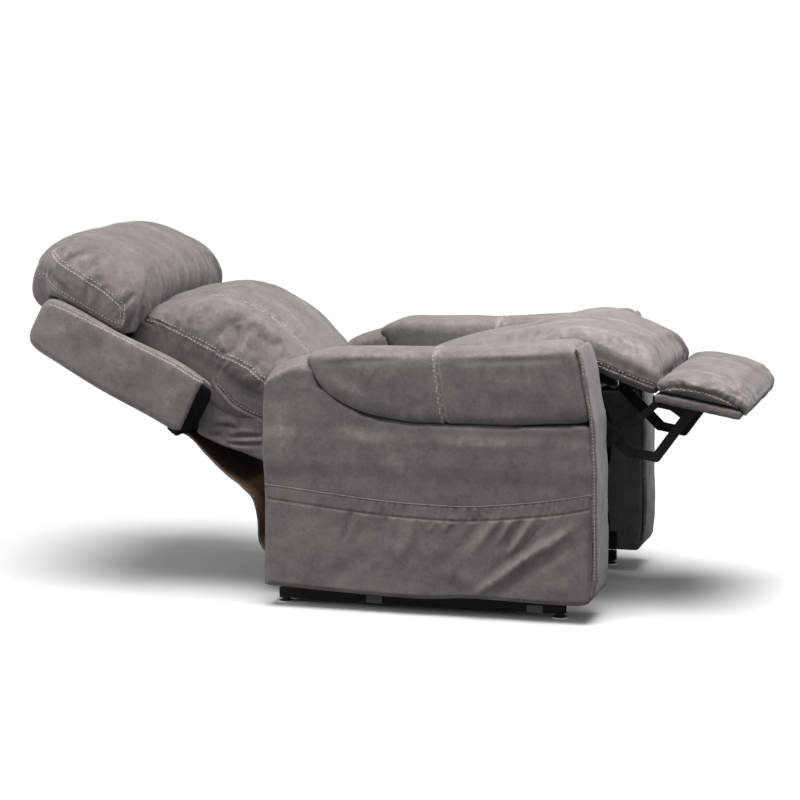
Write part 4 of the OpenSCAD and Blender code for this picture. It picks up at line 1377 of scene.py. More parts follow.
    def faces(self) -> list[tuple[int, ...]]:
        """The faces of the cloth's outer and inner sides and of its four edges."""
        columns, rows = self.columns, self.rows
        total = columns * rows
        faces = []
        for i in range(columns - 1):
            for j in range(rows - 1):
                a, b, c, d = i * rows + j, (i + 1) * rows + j, (i + 1) * rows + j + 1, i * rows + j + 1
                faces += [(a, b, c, d), (total + d, total + c, total + b, total + a)]
        rim = ([i * rows for i in range(columns)], [i * rows + rows - 1 for i in range(columns)],
               list(range(rows)), [(columns - 1) * rows + j for j in range(rows)])
        for turn, line in zip((True, False, False, True), rim):
            for a, b in zip(line[:-1], line[1:]):
                quad = (a, a + total, b + total, b)
                faces.append(quad if turn else quad[::-1])
        return faces


@dataclass
class ArmRest(Upholstery):
    """One arm: its covered box, its pad in two parts, its front strip and its gathered pocket."""

    side: Side = Side.RIGHT
    inner_x: float = 262.0
    core_x: float = 396.0
    outer_x: float = 410.0
    pocket_x: float = 407.0
    handset_room: float = 11.0
    far_drop: float = 13.0
    pocket_shape: PocketShape = PocketShape()
    outline: tuple[Point2, ...] = (
        (-741, 52), (-745, 300), (-745, 500), (-742, 562), (-737, 586), (-724, 602), (-692, 618), (-660, 629),
        (-632, 637), (-610, 634), (-592, 566), (-560, 535), (-529, 517), (-486, 497), (-440, 485), (-387, 480),
        (-211, 478), (-87, 480), (60, 489), (84, 488), (90, 470), (95, 388), (97, 263), (99, 167), (98, 79), (86, 52))
    facing: tuple[Point2, ...] = ((45, 680), (53, 664), (62, 618), (72, 561), (83, 504), (90, 388), (92, 263),
                                  (94, 201), (95, 110), (88, 64))
    front: tuple[Point2, ...] = ((92, 60), (102, 80), (107, 130), (107, 201), (105, 263), (103, 388), (96, 504),
                                 (85, 561), (75, 618), (67, 655), (59, 675), (50, 685))
    lining_edge: tuple[Point2, ...] = ((-700, 70), (-700, 300), (-560, 320), (-300, 350), (-60, 385), (12, 400),
                                       (14, 300), (14, 74))
    rear_rim: tuple[tuple[float, float], ...] = ((392, -729), (389, -715), (387, -700), (386, -680), (385, -660),
                                                 (384, -640), (383, -622))
    pad_rows: tuple[StationRow, ...] = (
        (-612, 606, -636, 624, 22), (-606, 582, -622, 644, 5), (-567, 538, -566, 652, 0), (-486, 497, -486, 655, 0),
        (-387, 481, -387, 659, 0), (-296, 479, -296, 662, 0), (-120, 481, -120, 675, 0), (20, 489, 10, 688, 0),
        (70, 494, 42, 686, 0.5), (82, 502, 54, 664, 3), (85, 516, 63, 628, 10))
    pad_edge: tuple[Point2, ...] = ((-560, 562), (-486, 515), (-387, 498), (-250, 496), (-100, 498), (40, 506))
    box_folds: tuple[FoldRow, ...] = (
        (((-700, 520), (-690, 440), (-700, 350)), 1.6, 34.0), (((-560, 470), (-500, 440), (-420, 430)), 2.2, 20.0),
        (((-300, 440), (-180, 436), (-60, 446)), 1.6, 18.0), (((20, 470), (60, 440), (70, 380)), -1.5, 16.0),
        (((-640, 560), (-600, 520), (-560, 490)), -1.8, 16.0), (((-420, 400), (-380, 360), (-340, 330)), 1.4, 26.0))
    pad_folds: tuple[FoldRow, ...] = (
        (((-590, 632), (-500, 640), (-380, 646)), 2.0, 9.0), (((-270, 648), (-120, 656), (30, 666)), 1.9, 8.0),
        (((-600, 618), (-500, 628), (-380, 634)), -1.6, 8.0), (((-262, 634), (-120, 642), (30, 652)), -1.6, 8.0),
        (((-300, 560), (-330, 530), (-380, 505)), -1.4, 12.0), (((-260, 520), (-180, 505), (-60, 512)), 1.6, 14.0),
        (((2, 668), (22, 640), (36, 580)), -2.4, 14.0), (((-568, 600), (-530, 565), (-470, 540)), 1.9, 16.0),
        (((-220, 610), (-120, 590), (-30, 600)), 1.4, 30.0), (((-520, 620), (-450, 600), (-380, 600)), 1.4, 28.0))

    def build(self) -> None:
        """Builds and dresses the arm."""
        self.body()
        self.pad()
        self.front_facing()
        self.lining_and_shade()
        self.pocket()

    def drop_far_rear(self, relief: Relief, reach: Point2, rise: Point2) -> None:
        """Lowers the rear end of the left arm, which sits lower than the right one's.

        Args:
            relief: the piece.
            reach: how far behind the glides the drop starts and is full.
            rise: the heights where it starts and is full.
        """
        if self.side is Side.LEFT:
            f, z = side_view(relief.co)
            relief.shift[:, 2] -= self.far_drop * step(-f, *reach) * step(z, *rise)

    def body(self) -> None:
        """The covered box under the pad."""
        s, name = self.side, self.side.label
        relief = Relief(slab_form(f"arm_box_{name}", self.outline, s.value * self.inner_x,
                                  s.value * (self.core_x + 4.0), 0.008, 5))
        f, z = side_view(relief.co)
        out = relief.co[:, 0] * s.value / MM
        outer = step(out, self.core_x - 12, self.core_x - 3)
        relief.shift[:, 0] += s.value * outer * (3.0 * step(f, 30, 80)
                                                 + 4.0 * step(z, 330, 380) * (1 - step(z, 430, 466)))
        relief.shift[:, 0] += s.value * outer * 3.0 * step(f, -640, -690) * step(z, 320, 360)
        across = np.clip((out - self.inner_x) / (self.core_x - self.inner_x), 0, 1)
        relief.shift[:, 2] -= (22.0 + 8.0 * step(f, -660, -618)) * np.abs(across * 2 - 1) ** 2.4 * step(z, 540, 600)
        self.drop_far_rear(relief, (590, 650), (520, 600))
        relief.slack(1.6, 0.30, 11 + s.value)
        rim = relief.drop([placed(s.value * x, (p, ABOVE_Z)) for x, p in self.rear_rim], DOWN)
        relief.seam(rim, 2.0, 2.4, 0.6, 0.3, 9)
        relief.folds(s, self.box_folds)
        self.hand_over(relief.done(), "chassis", [f"arm_{name}"], 0.9)

    def pad(self) -> None:
        """The crowned pad with its cross seam."""
        s, name = self.side, self.side.label
        half = (self.outer_x - self.inner_x) / 2
        x_mid = s.value * (self.inner_x + half)
        form = SoftForm(stations(LEVEL, half, self.pad_rows), squareness=0.46, x_mid=x_mid, shoulder=0.62)
        relief = Relief(form.build(f"arm_cushion_{name}"))
        relief.slack(1.6, 0.28, 21 + s.value)
        self.drop_far_rear(relief, (560, 640), (560, 620))
        cross = relief.round(placed(x_mid, (-288, 580)), (0.0, 1.0, -0.145))
        relief.seam(cross, 4.4, 3.4, 1.0, 0.6, 3)
        relief.gathers(relief.on_side(s, self.pad_edge), 0.8, 26.0, 62.0, 31)
        relief.folds(s, self.pad_folds)
        self.hand_over(relief.done(), "chassis", [f"arm_pad_{name}"], 0.8)
        thread = Thread(pitch=8.6)
        thread.row(relief, cross, 8.5, (0.0, 1.0, 0.0))
        self.finishes.sew(thread, f"arm_cushion_thread_{name}", "chassis")

    def front_facing(self) -> None:
        """The continuous strip down the arm's front, sewn to the pad and the box on both flanks."""
        s, name = self.side, self.side.label
        relief = Relief(slab_form(f"arm_facing_{name}", [*self.facing, *self.front], s.value * (self.inner_x - 1.0),
                                  s.value * (self.outer_x + 1.0), 0.006, 3))
        _f, z = side_view(relief.co)
        out = relief.co[:, 0] * s.value / MM
        relief.shift[:, 0] -= s.value * 3.0 * step(out, 390, 408) * (1 - step(z, 440, 540))
        relief.slack(1.2, 0.16, 15 + s.value)
        thread = Thread(length=5.6, pitch=8.4, radius=0.7)
        inside = [(p + 5.5, q) for p, q in self.facing[1:-1]]
        for flank, x in ((s, self.outer_x), (Side(-s.value), self.inner_x)):
            line = relief.on_side(flank, inside, x=flank.value * s.value * x)
            relief.gathers(line, 0.5, 12.0, 17.0, 16)
            thread.row(relief, line, 1.5, (0.0, -1.0, 0.0))
        self.hand_over(relief.done(), "chassis", fill=0.8)
        self.finishes.sew(thread, f"arm_facing_thread_{name}", "chassis")

    def lining_and_shade(self) -> None:
        """The black lining cloth of the arm's inner side."""
        # The arm's inner side in near-black cloth: partly a real black cloth, partly painted shade of the hollow beside
        # and under the seat.
        s = self.side
        obj = slab_form(f"arm_lining_{s.label}", self.lining_edge, s.value * (self.inner_x - 2.6),
                        s.value * (self.inner_x + 3.0), 0.006, 1)
        self.hand_over(obj, "chassis", slot=Slot.LINING_AND_SHADE)

    def pocket(self) -> None:
        """The pocket's cloth, with an elastic band of gathers along its top and slanting folds below."""
        s, shape = self.side, self.pocket_shape
        outer = self.pocket_x if s is Side.RIGHT else self.pocket_x + self.handset_room
        points, wear_and_highlight = shape.surface(self.core_x + 5.2, outer)
        front = np.stack([s.value * points[:, 0] * MM, (MID_F - points[:, 1]) * MM, points[:, 2] * MM], 1)
        back = front.copy()
        back[:, 0] -= s.value * shape.thickness * MM
        obj = new_object(f"arm_pocket_{s.label}", np.concatenate([front, back]), shape.faces())
        if s is Side.RIGHT:
            obj.data.flip_normals()
        layer = obj.data.attributes.new("wear_and_highlight", "FLOAT", "POINT")
        layer.data.foreach_set("value", np.concatenate([wear_and_highlight, wear_and_highlight]).astype(np.float32))
        self.hand_over(obj, "chassis", [f"pocket_{s.label}"])


@dataclass
class SeatUnit(Upholstery):
    """The seat cushion and the chaise pad, under one cover from the seat to the leg rest."""

    half: float = 248.0
    base: float = 47.1
    seat_rows: tuple[StationRow, ...] = (
        (84, 6, -598, 432, 46), (96, 1, -588, 478, 22), (150, 0, -545, 524, 4), (240, 0, -465, 574, 0),
        (350, 0, -368, 615, 0), (460, 0, -270, 645, 0), (550, 0, -180, 661, 0), (630, 0, -95, 683, 0),
        (694, 0, -22, 700, 0))
    chaise_rows: tuple[StationRow, ...] = (
        (8, 603, 26, 703, 0), (60, 596, 80, 692, 0), (120, 574, 144, 667, 0), (180, 552, 196, 642, 0),
        (205, 546, 222, 616, 2), (211, 551, 224, 590, 12))
    floor: tuple[Point2, ...] = ((60, 596), (120, 574), (180, 552), (205, 546))
    gusset: tuple[Point2, ...] = ((-120, 640), (-40, 640), (20, 635), (58, 627), (128, 602), (180, 583), (208, 574))
    ridges: tuple[FoldRow, ...] = (
        (((60, -230), (36, -110), (70, 0), (140, 90)), 7.0, 30.0),
        (((0, -220), (-30, -110), (0, 10), (60, 110)), -5.0, 26.0),
        (((-90, -240), (-130, -120), (-130, -10), (-90, 90)), 6.0, 26.0),
        (((-165, -230), (-190, -120), (-205, 0)), -4.0, 18.0),
        (((-215, -60), (-206, 40), (-196, 130), (-206, 196)), 3.0, 12.0),
        (((-60, 20), (-20, 110), (6, 190)), 3.4, 16.0),
        (((-150, 30), (-130, 120), (-140, 196)), -3.2, 14.0), (((-100, 60), (-70, 140), (-56, 200)), -2.6, 11.0),
        (((40, 60), (66, 140), (80, 200)), -3.4, 15.0), (((110, 20), (140, 110), (150, 190)), 3.2, 16.0),
        (((170, -160), (196, -40), (190, 90)), 4.0, 22.0), (((205, 20), (200, 110), (190, 190)), -2.6, 12.0))

    def build(self) -> None:
        """Builds and dresses the seat."""
        half, base = self.half, self.base
        rows = [Station(SEAT.at(u, base + v), (f, z), half - cut) for u, v, f, z, cut in self.seat_rows]
        form = SoftForm([*rows, *stations(LEVEL, half, self.chaise_rows)], squareness=0.6, shoulder=0.58)
        obj = form.build("seat_and_chaise_cover")
        co = points_of(obj)
        f, z = side_view(co)
        _u, v = local(co, SEAT)
        floor = np.interp(f, *zip(*self.floor))
        held = np.where(f < 20, v < base + 14, z < floor + 10) | (np.abs(co[:, 0]) > 0.243)
        relief = Relief(swollen(obj, held, 0.012, PRESSURE, SPARE_CLOTH))
        relief.slack(1.8, 0.26, 41)
        for line, height, width in self.ridges:
            path = [placed(x, (p, ABOVE_Z)) for x, p in curve_through(np.array(line, float), 10)]
            relief.fold(relief.drop(path, DOWN), height, width)
        seams = []
        for side in Side:
            line = relief.on_side(side, self.gusset, x=250.0)
            seams.append(relief.seam(line, 2.2, 2.8, 1.2, 1.0, 7))
            relief.gathers(line, 1.6, 26.0, 27.0, 52 + side.value, UP)
        front = relief.drop([placed(x, (250, 600)) for x in np.linspace(-236, 236, 30)], (0.0, 0.9, -0.3))
        relief.gathers(front, 2.2, 42.0, 38.0, 55)
        piece = self.hand_over(relief.done(), None, ["seat_cushion", "chaise_pad"], 0.75)
        thread = Thread()
        thread.beside(relief, seams, 5.0, (UP, DOWN))
        stitches = thread.piece("seat_and_chaise_thread")
        stitches.data.materials.append(self.finishes.get(SEWING_THREAD))
        for part in (piece, stitches):
            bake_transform(part)


@dataclass
class FootRest(Upholstery):
    """The foot pad on its covered board."""

    half: float = 256.0
    board: tuple[float, float] = (253.0, 470.0)
    board_n: tuple[float, float] = (13.0, 35.4)
    pad_base: float = 35.6
    pad_rows: tuple[StationRow, ...] = (
        (250, 39.6, 250, 61.6, 14), (261, 35.6, 258, 76.0, 2), (315, 35.6, 315, 92.0, 0), (395, 35.6, 395, 94.0, 0),
        (444, 35.6, 460, 78.0, 2), (471, 32.6, 482, 59.6, 5), (472, 15, 482, 24, 9))
    edge: tuple[Point2, ...] = ((264, 46), (300, 60), (360, 65), (420, 58), (456, 44), (468, 30))
    sweeps: tuple[SweepRow, ...] = (
        (-190, 280, 440, 2.2, 14.0), (-80, 270, 420, -1.8, 18.0), (40, 290, 450, 2.0, 20.0),
        (150, 270, 430, -1.8, 14.0))

    def build(self) -> None:
        """Builds and dresses the leg rest's end."""
        self.pad()
        self.covered_board()

    def pad(self) -> None:
        """The foot pad with its stitched lower edge and its pulled corners."""
        form = SoftForm(stations(REST, self.half, self.pad_rows), squareness=0.62, voxel=0.006, shoulder=0.6,
                        smooth=7)
        obj = form.build("foot_pad_cover")
        _u, v = local(points_of(obj), REST)
        relief = Relief(swollen(obj, v < self.pad_base + 12, 0.007, PRESSURE, SPARE_CLOTH))
        relief.slack(1.2, 0.22, 61)
        seams = []
        for side in Side:
            line = relief.on_side(side, self.edge, REST, 256.0)
            seams.append(relief.seam(line, 2.0, 2.8, 1.2, 1.0, 8))
            relief.gathers(line, 1.3, 22.0, 21.0, 62 + side.value, UP)
            corner = placed(side.value * 240, REST.at(452, 70))
            for k, (dx, du) in enumerate(((-70, -60), (-30, -80), (-100, -20))):
                end = placed(side.value * (240 + dx), REST.at(452 + du, 82))
                path = relief.drop(evened(np.array([corner, end]), 0.01).tolist(), tuple(-REST.outwards()))
                relief.fold(path, 2.4 - 0.4 * k, 9.0)
                relief.fold(path + np.array([0.0, 0.012, 0.0]), -1.6, 8.0)
        front = relief.drop([placed(x, REST.at(520, 62)) for x in np.linspace(-236, 236, 40)], (0.0, 1.0, 0.0))
        relief.gathers(front, 1.1, 20.0, 30.0, 66)
        relief.sweeps(self.sweeps, REST, ABOVE_REST, 10)
        self.hand_over(relief.done(), "legrest", ["foot_pad"], 0.7)
        thread = Thread()
        thread.beside(relief, seams, 5.0, (DOWN,))
        self.finishes.sew(thread, "foot_pad_thread", "legrest")

    def covered_board(self) -> None:
        """The foot board, wrapped in the same suede."""
        (w0, w1), (n0, n1) = self.board, self.board_n
        corners = [REST.at(*p) for p in ((w0, n0), (w1, n0), (w1, n1), (w0, n1))]
        relief = Relief(slab_form("foot_board_cover", corners, -self.half + 3, self.half - 3, 0.0055, 4))
        relief.slack(0.5, 0.12, 71)
        edge = relief.on_side(Side.RIGHT, ((256, n0 + 4), (360, n0 + 4), (466, n0 + 4)), REST, 256.0)
        relief.seam(edge, 0.8, 2.4, 0.4, 0.3, 3)
        self.hand_over(relief.done(), "legrest", ["footrest_board"])


@dataclass
class Backrest(Upholstery):
    """The backrest: wings, lumbar cushion, head pillow, top and rear panels, lower covers and flap."""

    wing_x: tuple[float, float] = (262.0, 390.0)
    wing_slope: float = 38.0
    wing_rim: float = 14.0
    lumbar_half: float = 253.0
    lumbar_x: float = 257.0
    face_seam_x: float = 142.0
    pillow_half: float = 343.0
    low_half: float = 250.0
    panel_v: float = -84.0
    wing_rows: tuple[StationRow, ...] = (
        (256, -76, 262, 52, 8), (262, -94, 268, 67, 0), (354, -97, 354, 71, 0), (434, -99, 434, 65, 0),
        (520, -102, 520, 57, 0), (640, -99, 650, 54, 0), (703, -92, 714, 45, 1), (726, -70, 729, 16, 9))
    wing_edge: tuple[Point2, ...] = ((262, 58), (354, 60), (434, 55), (568, 47), (690, 37), (714, 26))
    wing_rear: tuple[Point2, ...] = ((268, -84), (420, -88), (560, -92), (700, -82))
    wing_folds: tuple[FoldRow, ...] = (
        (((300, 30), (320, -20), (310, -70)), 2.4, 26.0), (((420, 20), (470, -10), (560, -20)), 1.6, 30.0),
        (((600, 30), (650, -10), (690, -60)), 1.6, 24.0), (((350, -40), (450, -60), (560, -60)), -1.2, 30.0))
    lining_ring: tuple[Point2, ...] = ((294, -98), (262, -104), (253, -90), (252, -40), (253, 20), (257, 50), (266, 54),
                                       (272, 30), (272, -88), (294, -90))
    lumbar_rows: tuple[StationRow, ...] = (
        (24, 52, 8, 96, 30), (40, 34, 30, 150, 9), (92, 8, 89, 190, 3), (150, -30, 150, 213, 1),
        (200, -50, 200, 228, 0), (254, -50, 254, 236, 0), (332, -50, 332, 233, 0), (394, -50, 394, 210, 0),
        (446, -50, 446, 174, 1), (488, -36, 486, 144, 2), (514, -10, 512, 116, 5), (524, 20, 525, 78, 13))
    lumbar_gusset: tuple[Point2, ...] = ((520, 82), (485, 93), (445, 99), (385, 106), (327, 109), (280, 109),
                                         (257, 112), (233, 115), (198, 113), (156, 106), (110, 98))
    lumbar_branch: tuple[Point2, ...] = ((264, 104), (270, 72), (268, 39), (230, 22), (194, 11), (150, 12), (112, 17))
    lumbar_face: tuple[float, ...] = (400, 360, 310, 255, 200, 150, 100, 60)
    lumbar_folds: tuple[FoldRow, ...] = (
        (((288, 186), (268, 160), (261, 140), (261, 116)), -8.0, 8.0),
        (((258, 186), (244, 156), (243, 124)), 2.6, 14.0),
        (((312, 146), (296, 130), (282, 118)), 2.6, 11.0), (((306, 122), (288, 112), (262, 116)), -3.0, 6.0),
        (((220, 150), (190, 142), (150, 138)), 2.2, 12.0), (((420, 120), (380, 128), (330, 132)), 2.0, 12.0),
        (((240, 60), (190, 50), (130, 60)), -2.2, 14.0))
    lumbar_sweeps: tuple[SweepRow, ...] = (
        (-80, 330, 130, 2.4, 26.0), (30, 360, 190, -2.4, 24.0), (90, 300, 110, 2.2, 26.0), (-200, 380, 230, 2.0, 18.0),
        (200, 360, 160, 2.2, 18.0))
    pillow_rows: tuple[StationRow, ...] = (
        (514, 56, 508, 104, 70), (512, 42, 506, 144, 24), (522, 33, 522, 176, 5), (548, 30, 552, 197, 0),
        (620, 30, 620, 210, 0), (690, 30, 700, 204, 0), (728, 26, 768, 178, 3), (744, 8, 824, 122, 42),
        (744, -14, 849, 54, 80), (748, -32, 836, -8, 100), (760, -44, 806, -44, 136))
    pillow_upper: tuple[Point2, ...] = ((790, 134), (752, 128), (721, 127), (665, 126), (613, 123), (567, 116),
                                        (547, 110), (536, 88), (530, 62))
    pillow_lower: tuple[Point2, ...] = ((806, 40), (779, 60), (747, 58), (701, 57), (658, 57), (601, 57), (536, 58))
    pillow_folds: tuple[FoldRow, ...] = (
        (((708, 174), (722, 150), (726, 128)), -7.0, 9.0), (((690, 172), (704, 150), (708, 132)), 2.6, 14.0),
        (((748, 168), (744, 150), (742, 132)), 2.4, 13.0), (((764, 156), (764, 144), (762, 134)), -3.0, 8.0),
        (((538, 152), (540, 128), (544, 112)), -7.0, 6.0), (((560, 156), (560, 134), (562, 120)), 3.6, 9.0),
        (((640, 76), (700, 90), (760, 100)), 2.4, 18.0))
    pillow_sweeps: tuple[SweepRow, ...] = (
        (-230, 780, 600, 3.4, 34.0), (-90, 760, 620, -3.4, 34.0), (60, 790, 600, 3.2, 38.0),
        (190, 760, 580, -3.0, 30.0), (-160, 640, 540, -4.2, 20.0), (-40, 620, 530, 4.0, 22.0),
        (110, 630, 530, -4.0, 20.0), (250, 640, 540, 3.4, 20.0))
    top_edge: tuple[Point2, ...] = ((696, 22), (728, 24), (740, 8), (741, -60), (732, -92), (696, -96))
    panel_edge: tuple[Point2, ...] = ((258, -104), (258, -84), (707, -84), (709, -94), (697, -106))
    low_edge: tuple[Point2, ...] = ((276, 12), (276, -80), (256, -83), (253, -108), (234, -110), (180, -104),
                                    (118, -91), (57, -82), (20, -60), (-26, -24), (-24, 4), (24, 12))
    low_folds: tuple[FoldRow, ...] = (
        (((-784, 406), (-846, 402), (-884, 398)), -3.6, 5.0), (((-784, 384), (-847, 382), (-888, 382)), -4.0, 5.0),
        (((-862, 418), (-885, 427), (-912, 428), (-932, 420)), -3.0, 5.0),
        (((-784, 395), (-846, 392), (-896, 390)), 3.4, 6.0), (((-800, 416), (-850, 416), (-882, 410)), 2.8, 7.0),
        (((-800, 372), (-860, 374), (-912, 386)), 2.8, 8.0), (((-862, 436), (-890, 441), (-920, 438)), 2.4, 9.0),
        (((-900, 404), (-924, 402), (-944, 404)), -2.2, 7.0))
    under_edge: tuple[Point2, ...] = ((57, -77), (118, -86), (180, -99), (232, -105), (250, -100), (254, -104),
                                      (234, -111), (180, -105), (118, -92), (57, -83))
    flap_line: tuple[Point2, ...] = (BACK.at(300, -108), (-1022, 408), (-990, 394), (-947, 348), (-900, 305),
                                     (-852, 272), (-820, 240), (-808, 188), (-806, 135), (-786, 104), (-760, 97),
                                     (-741, 104))
    flap_width: float = 508.0

    def build(self) -> None:
        """Builds and dresses the backrest."""
        for side in Side:
            self.wing(side)
            self.wing_lining_and_shade(side)
        self.lumbar()
        self.pillow()
        self.panels()
        self.lower_cover()
        self.flap()

    def wing(self, side: Side) -> None:
        """One padded wing."""
        x0, x1 = self.wing_x
        half = (x1 - x0) / 2
        form = SoftForm(stations(BACK, half, self.wing_rows), squareness=0.3, x_mid=side.value * (x0 + half),
                        boxed=0.24)
        relief = Relief(form.build(f"back_wing_{side.label}"))
        relief.slack(1.3, 0.26, 81 + side.value)
        self.lean(relief)
        edge = relief.on_side(side, self.wing_edge, BACK, x1)
        relief.seam(edge, 1.5, 2.2, 0.5, 0.5, 2)
        relief.seam(relief.on_side(side, self.wing_rear, BACK, x1), 1.6, 3.0, 0.8, 0.4, 5)
        relief.gathers(edge, 0.9, 26.0, 40.0, 83, INTO_BACK)
        relief.folds(side, self.wing_folds, BACK, x1)
        self.hand_over(relief.done(), "back", [f"wing_{side.label}"], 0.85)
        thread = Thread(length=5.4, pitch=8.0)
        thread.row(relief, edge, 4.5, INTO_BACK)
        thread.row(relief, edge[:len(edge) // 3], 4.5, OUT_OF_BACK)
        self.finishes.sew(thread, f"back_wing_thread_{side.label}", "back")

    def wing_lining_and_shade(self, side: Side) -> None:
        """A near-black cloth over a wing's lower end: partly a real black cloth, partly painted shade of the recess
        there.
        """
        x0, x1 = self.wing_x
        relief = Relief(slab_form(f"back_wing_lining_{side.label}", [BACK.at(*p) for p in self.lining_ring],
                                  side.value * (x0 - 3), side.value * (x1 - 7), 0.006, 3), 0)
        self.lean(relief)
        self.hand_over(relief.done(), "back", slot=Slot.LINING_AND_SHADE)

    def lean(self, relief: Relief) -> None:
        """Slopes a wing's face down from its outer rim towards the cushions."""
        _u, v = local(relief.co, BACK)
        x0, x1 = self.wing_x
        inner = np.clip((x1 - self.wing_rim - np.abs(relief.co[:, 0]) / MM) / (x1 - x0 - self.wing_rim), 0, 1)
        relief.shift -= (self.wing_slope * inner * step(v, -70, 50))[:, None] * np.array(OUT_OF_BACK)

    def lumbar(self) -> None:
        """The lumbar cushion with its double-stitched gusset and its two face seams."""
        form = SoftForm(stations(BACK, self.lumbar_half, self.lumbar_rows), squareness=0.62, shoulder=0.56,
                        boxed=0.2)
        obj = form.build("lumbar_cushion_cover")
        co = points_of(obj)
        _u, v = local(co, BACK)
        on_seam = (np.abs(np.abs(co[:, 0]) / MM - self.face_seam_x) < 4) & (v > 120)
        relief = Relief(swollen(obj, (v < 70) | on_seam, 0.010, PRESSURE, SPARE_CLOTH))
        relief.slack(2.0, 0.3, 91)
        gussets, faces, branches = [], [], []
        for side in Side:
            line = relief.on_side(side, self.lumbar_gusset, BACK, self.lumbar_x)
            gussets.append(relief.seam(line, 2.2, 2.2, 0.7, 0.9, 3))
            branch = relief.on_side(side, self.lumbar_branch, BACK, self.lumbar_x)
            branches.append(relief.seam(branch, 2.0, 3.0, 1.0, 0.5, 12))
            face = relief.on_top([(side.value * self.face_seam_x, u) for u in self.lumbar_face], BACK, ABOVE_BACK)
            faces.append(relief.seam(face, 2.2, 2.6, 1.0, 0.7, 4))
            relief.gathers(face, 1.0, 26.0, 36.0, 92 + side.value)
            relief.gathers(line, 1.0, 22.0, 30.0, 95 + side.value, OUT_OF_BACK)
            relief.folds(side, self.lumbar_folds, BACK, self.lumbar_x)
        base = relief.on_top([(x, 70) for x in (-225, -120, 0, 120, 225)], BACK, ABOVE_BACK)
        relief.gathers(base, 1.4, 34.0, 33.0, 99)
        relief.sweeps(self.lumbar_sweeps, BACK, ABOVE_BACK, 16, -8)
        self.hand_over(relief.done(), "back", ["lumbar_cushion"], 0.8)
        thread = Thread()
        thread.beside(relief, gussets, 6.0, (OUT_OF_BACK, INTO_BACK))
        thread.beside(relief, faces, 6.0, ((1.0, 0.0, 0.0), (-1.0, 0.0, 0.0)))
        thread.beside(relief, [line[len(line) // 3:] for line in branches], 4.0, (OUT_OF_BACK,))
        self.finishes.sew(thread, "lumbar_cushion_thread", "back")

    def pillow(self) -> None:
        """The head pillow that rolls over the top of the back."""
        half = self.pillow_half
        form = SoftForm(stations(BACK, half, self.pillow_rows), squareness=0.6, shoulder=0.4, boxed=0.2)
        obj = form.build("head_pillow_cover")
        _u, v = local(points_of(obj), BACK)
        relief = Relief(swollen(obj, v < 66, 0.010, PRESSURE, SPARE_CLOTH))
        relief.slack(2.0, 0.3, 101)
        uppers, lowers = [], []
        for side in Side:
            upper = relief.on_side(side, self.pillow_upper, BACK, half)
            uppers.append(relief.seam(upper, 2.2, 2.2, 0.7, 0.9, 5))
            lower = relief.on_side(side, self.pillow_lower, BACK, half)
            lowers.append(relief.seam(lower, 1.4, 2.0, 0.4, 0.4, 6))
            relief.gathers(upper, 1.6, 34.0, 46.0, 103 + side.value, OUT_OF_BACK)
            relief.folds(side, self.pillow_folds, BACK, half)
        edge = relief.on_top([(x, 522) for x in (-320, -200, -80, 40, 160, 320)], BACK, ABOVE_BACK)
        relief.gathers(edge, 3.4, 56.0, 78.0, 108)
        relief.gathers(edge, 1.4, 26.0, 37.0, 109)
        relief.sweeps(self.pillow_sweeps, BACK, ABOVE_BACK, 20)
        self.hand_over(relief.done(), "back", ["head_pillow"], 0.8)
        thread = Thread()
        thread.beside(relief, uppers, 5.5, (OUT_OF_BACK, INTO_BACK))
        thread.beside(relief, lowers, 4.5, (OUT_OF_BACK,))
        self.finishes.sew(thread, "head_pillow_thread", "back")

    def panels(self) -> None:
        """The cover of the back's top end and the padded rear panel."""
        top = slab_form("back_top_cover", [BACK.at(*p) for p in self.top_edge], -263.0, 263.0, 0.0075, 4)
        self.hand_over(top, "back")
        relief = Relief(slab_form("back_rear_panel", [BACK.at(*p) for p in self.panel_edge], -261.0, 261.0, 0.0075, 5))
        relief.slack(1.4, 0.3, 111)
        for x in (-246, 246):
            line = [placed(x, BACK.at(u, self.panel_v - 60)) for u in np.linspace(270, 693, 30)]
            relief.seam(relief.drop(line, OUT_OF_BACK), 1.6, 3.0, 0.6, 0.4, 4)
        self.hand_over(relief.done(), "back", ["back_panel"])

    def lower_cover(self) -> None:
        """The wrinkled covers of the back's lower part, between the arms, and the strip under them."""
        for side in Side:
            x1 = side.value * self.low_half
            relief = Relief(slab_form(f"back_side_cover_{side.label}", [BACK.at(*p) for p in self.low_edge],
                                      x1 - side.value * 9.0, x1, 0.0045, 3))
            relief.slack(1.0, 0.14, 121 + side.value)
            relief.folds(side, self.low_folds, LEVEL, 252.0)
            self.hand_over(relief.done(), "back", ["back_lower_cover"] if side is Side.RIGHT else [])
        strip = [BACK.at(*p) for p in self.under_edge]
        relief = Relief(slab_form("back_under_cover", strip, -241.0, 241.0, 0.004, 2), 0)
        relief.slack(0.8, 0.12, 127)
        self.hand_over(relief.done(), "back")

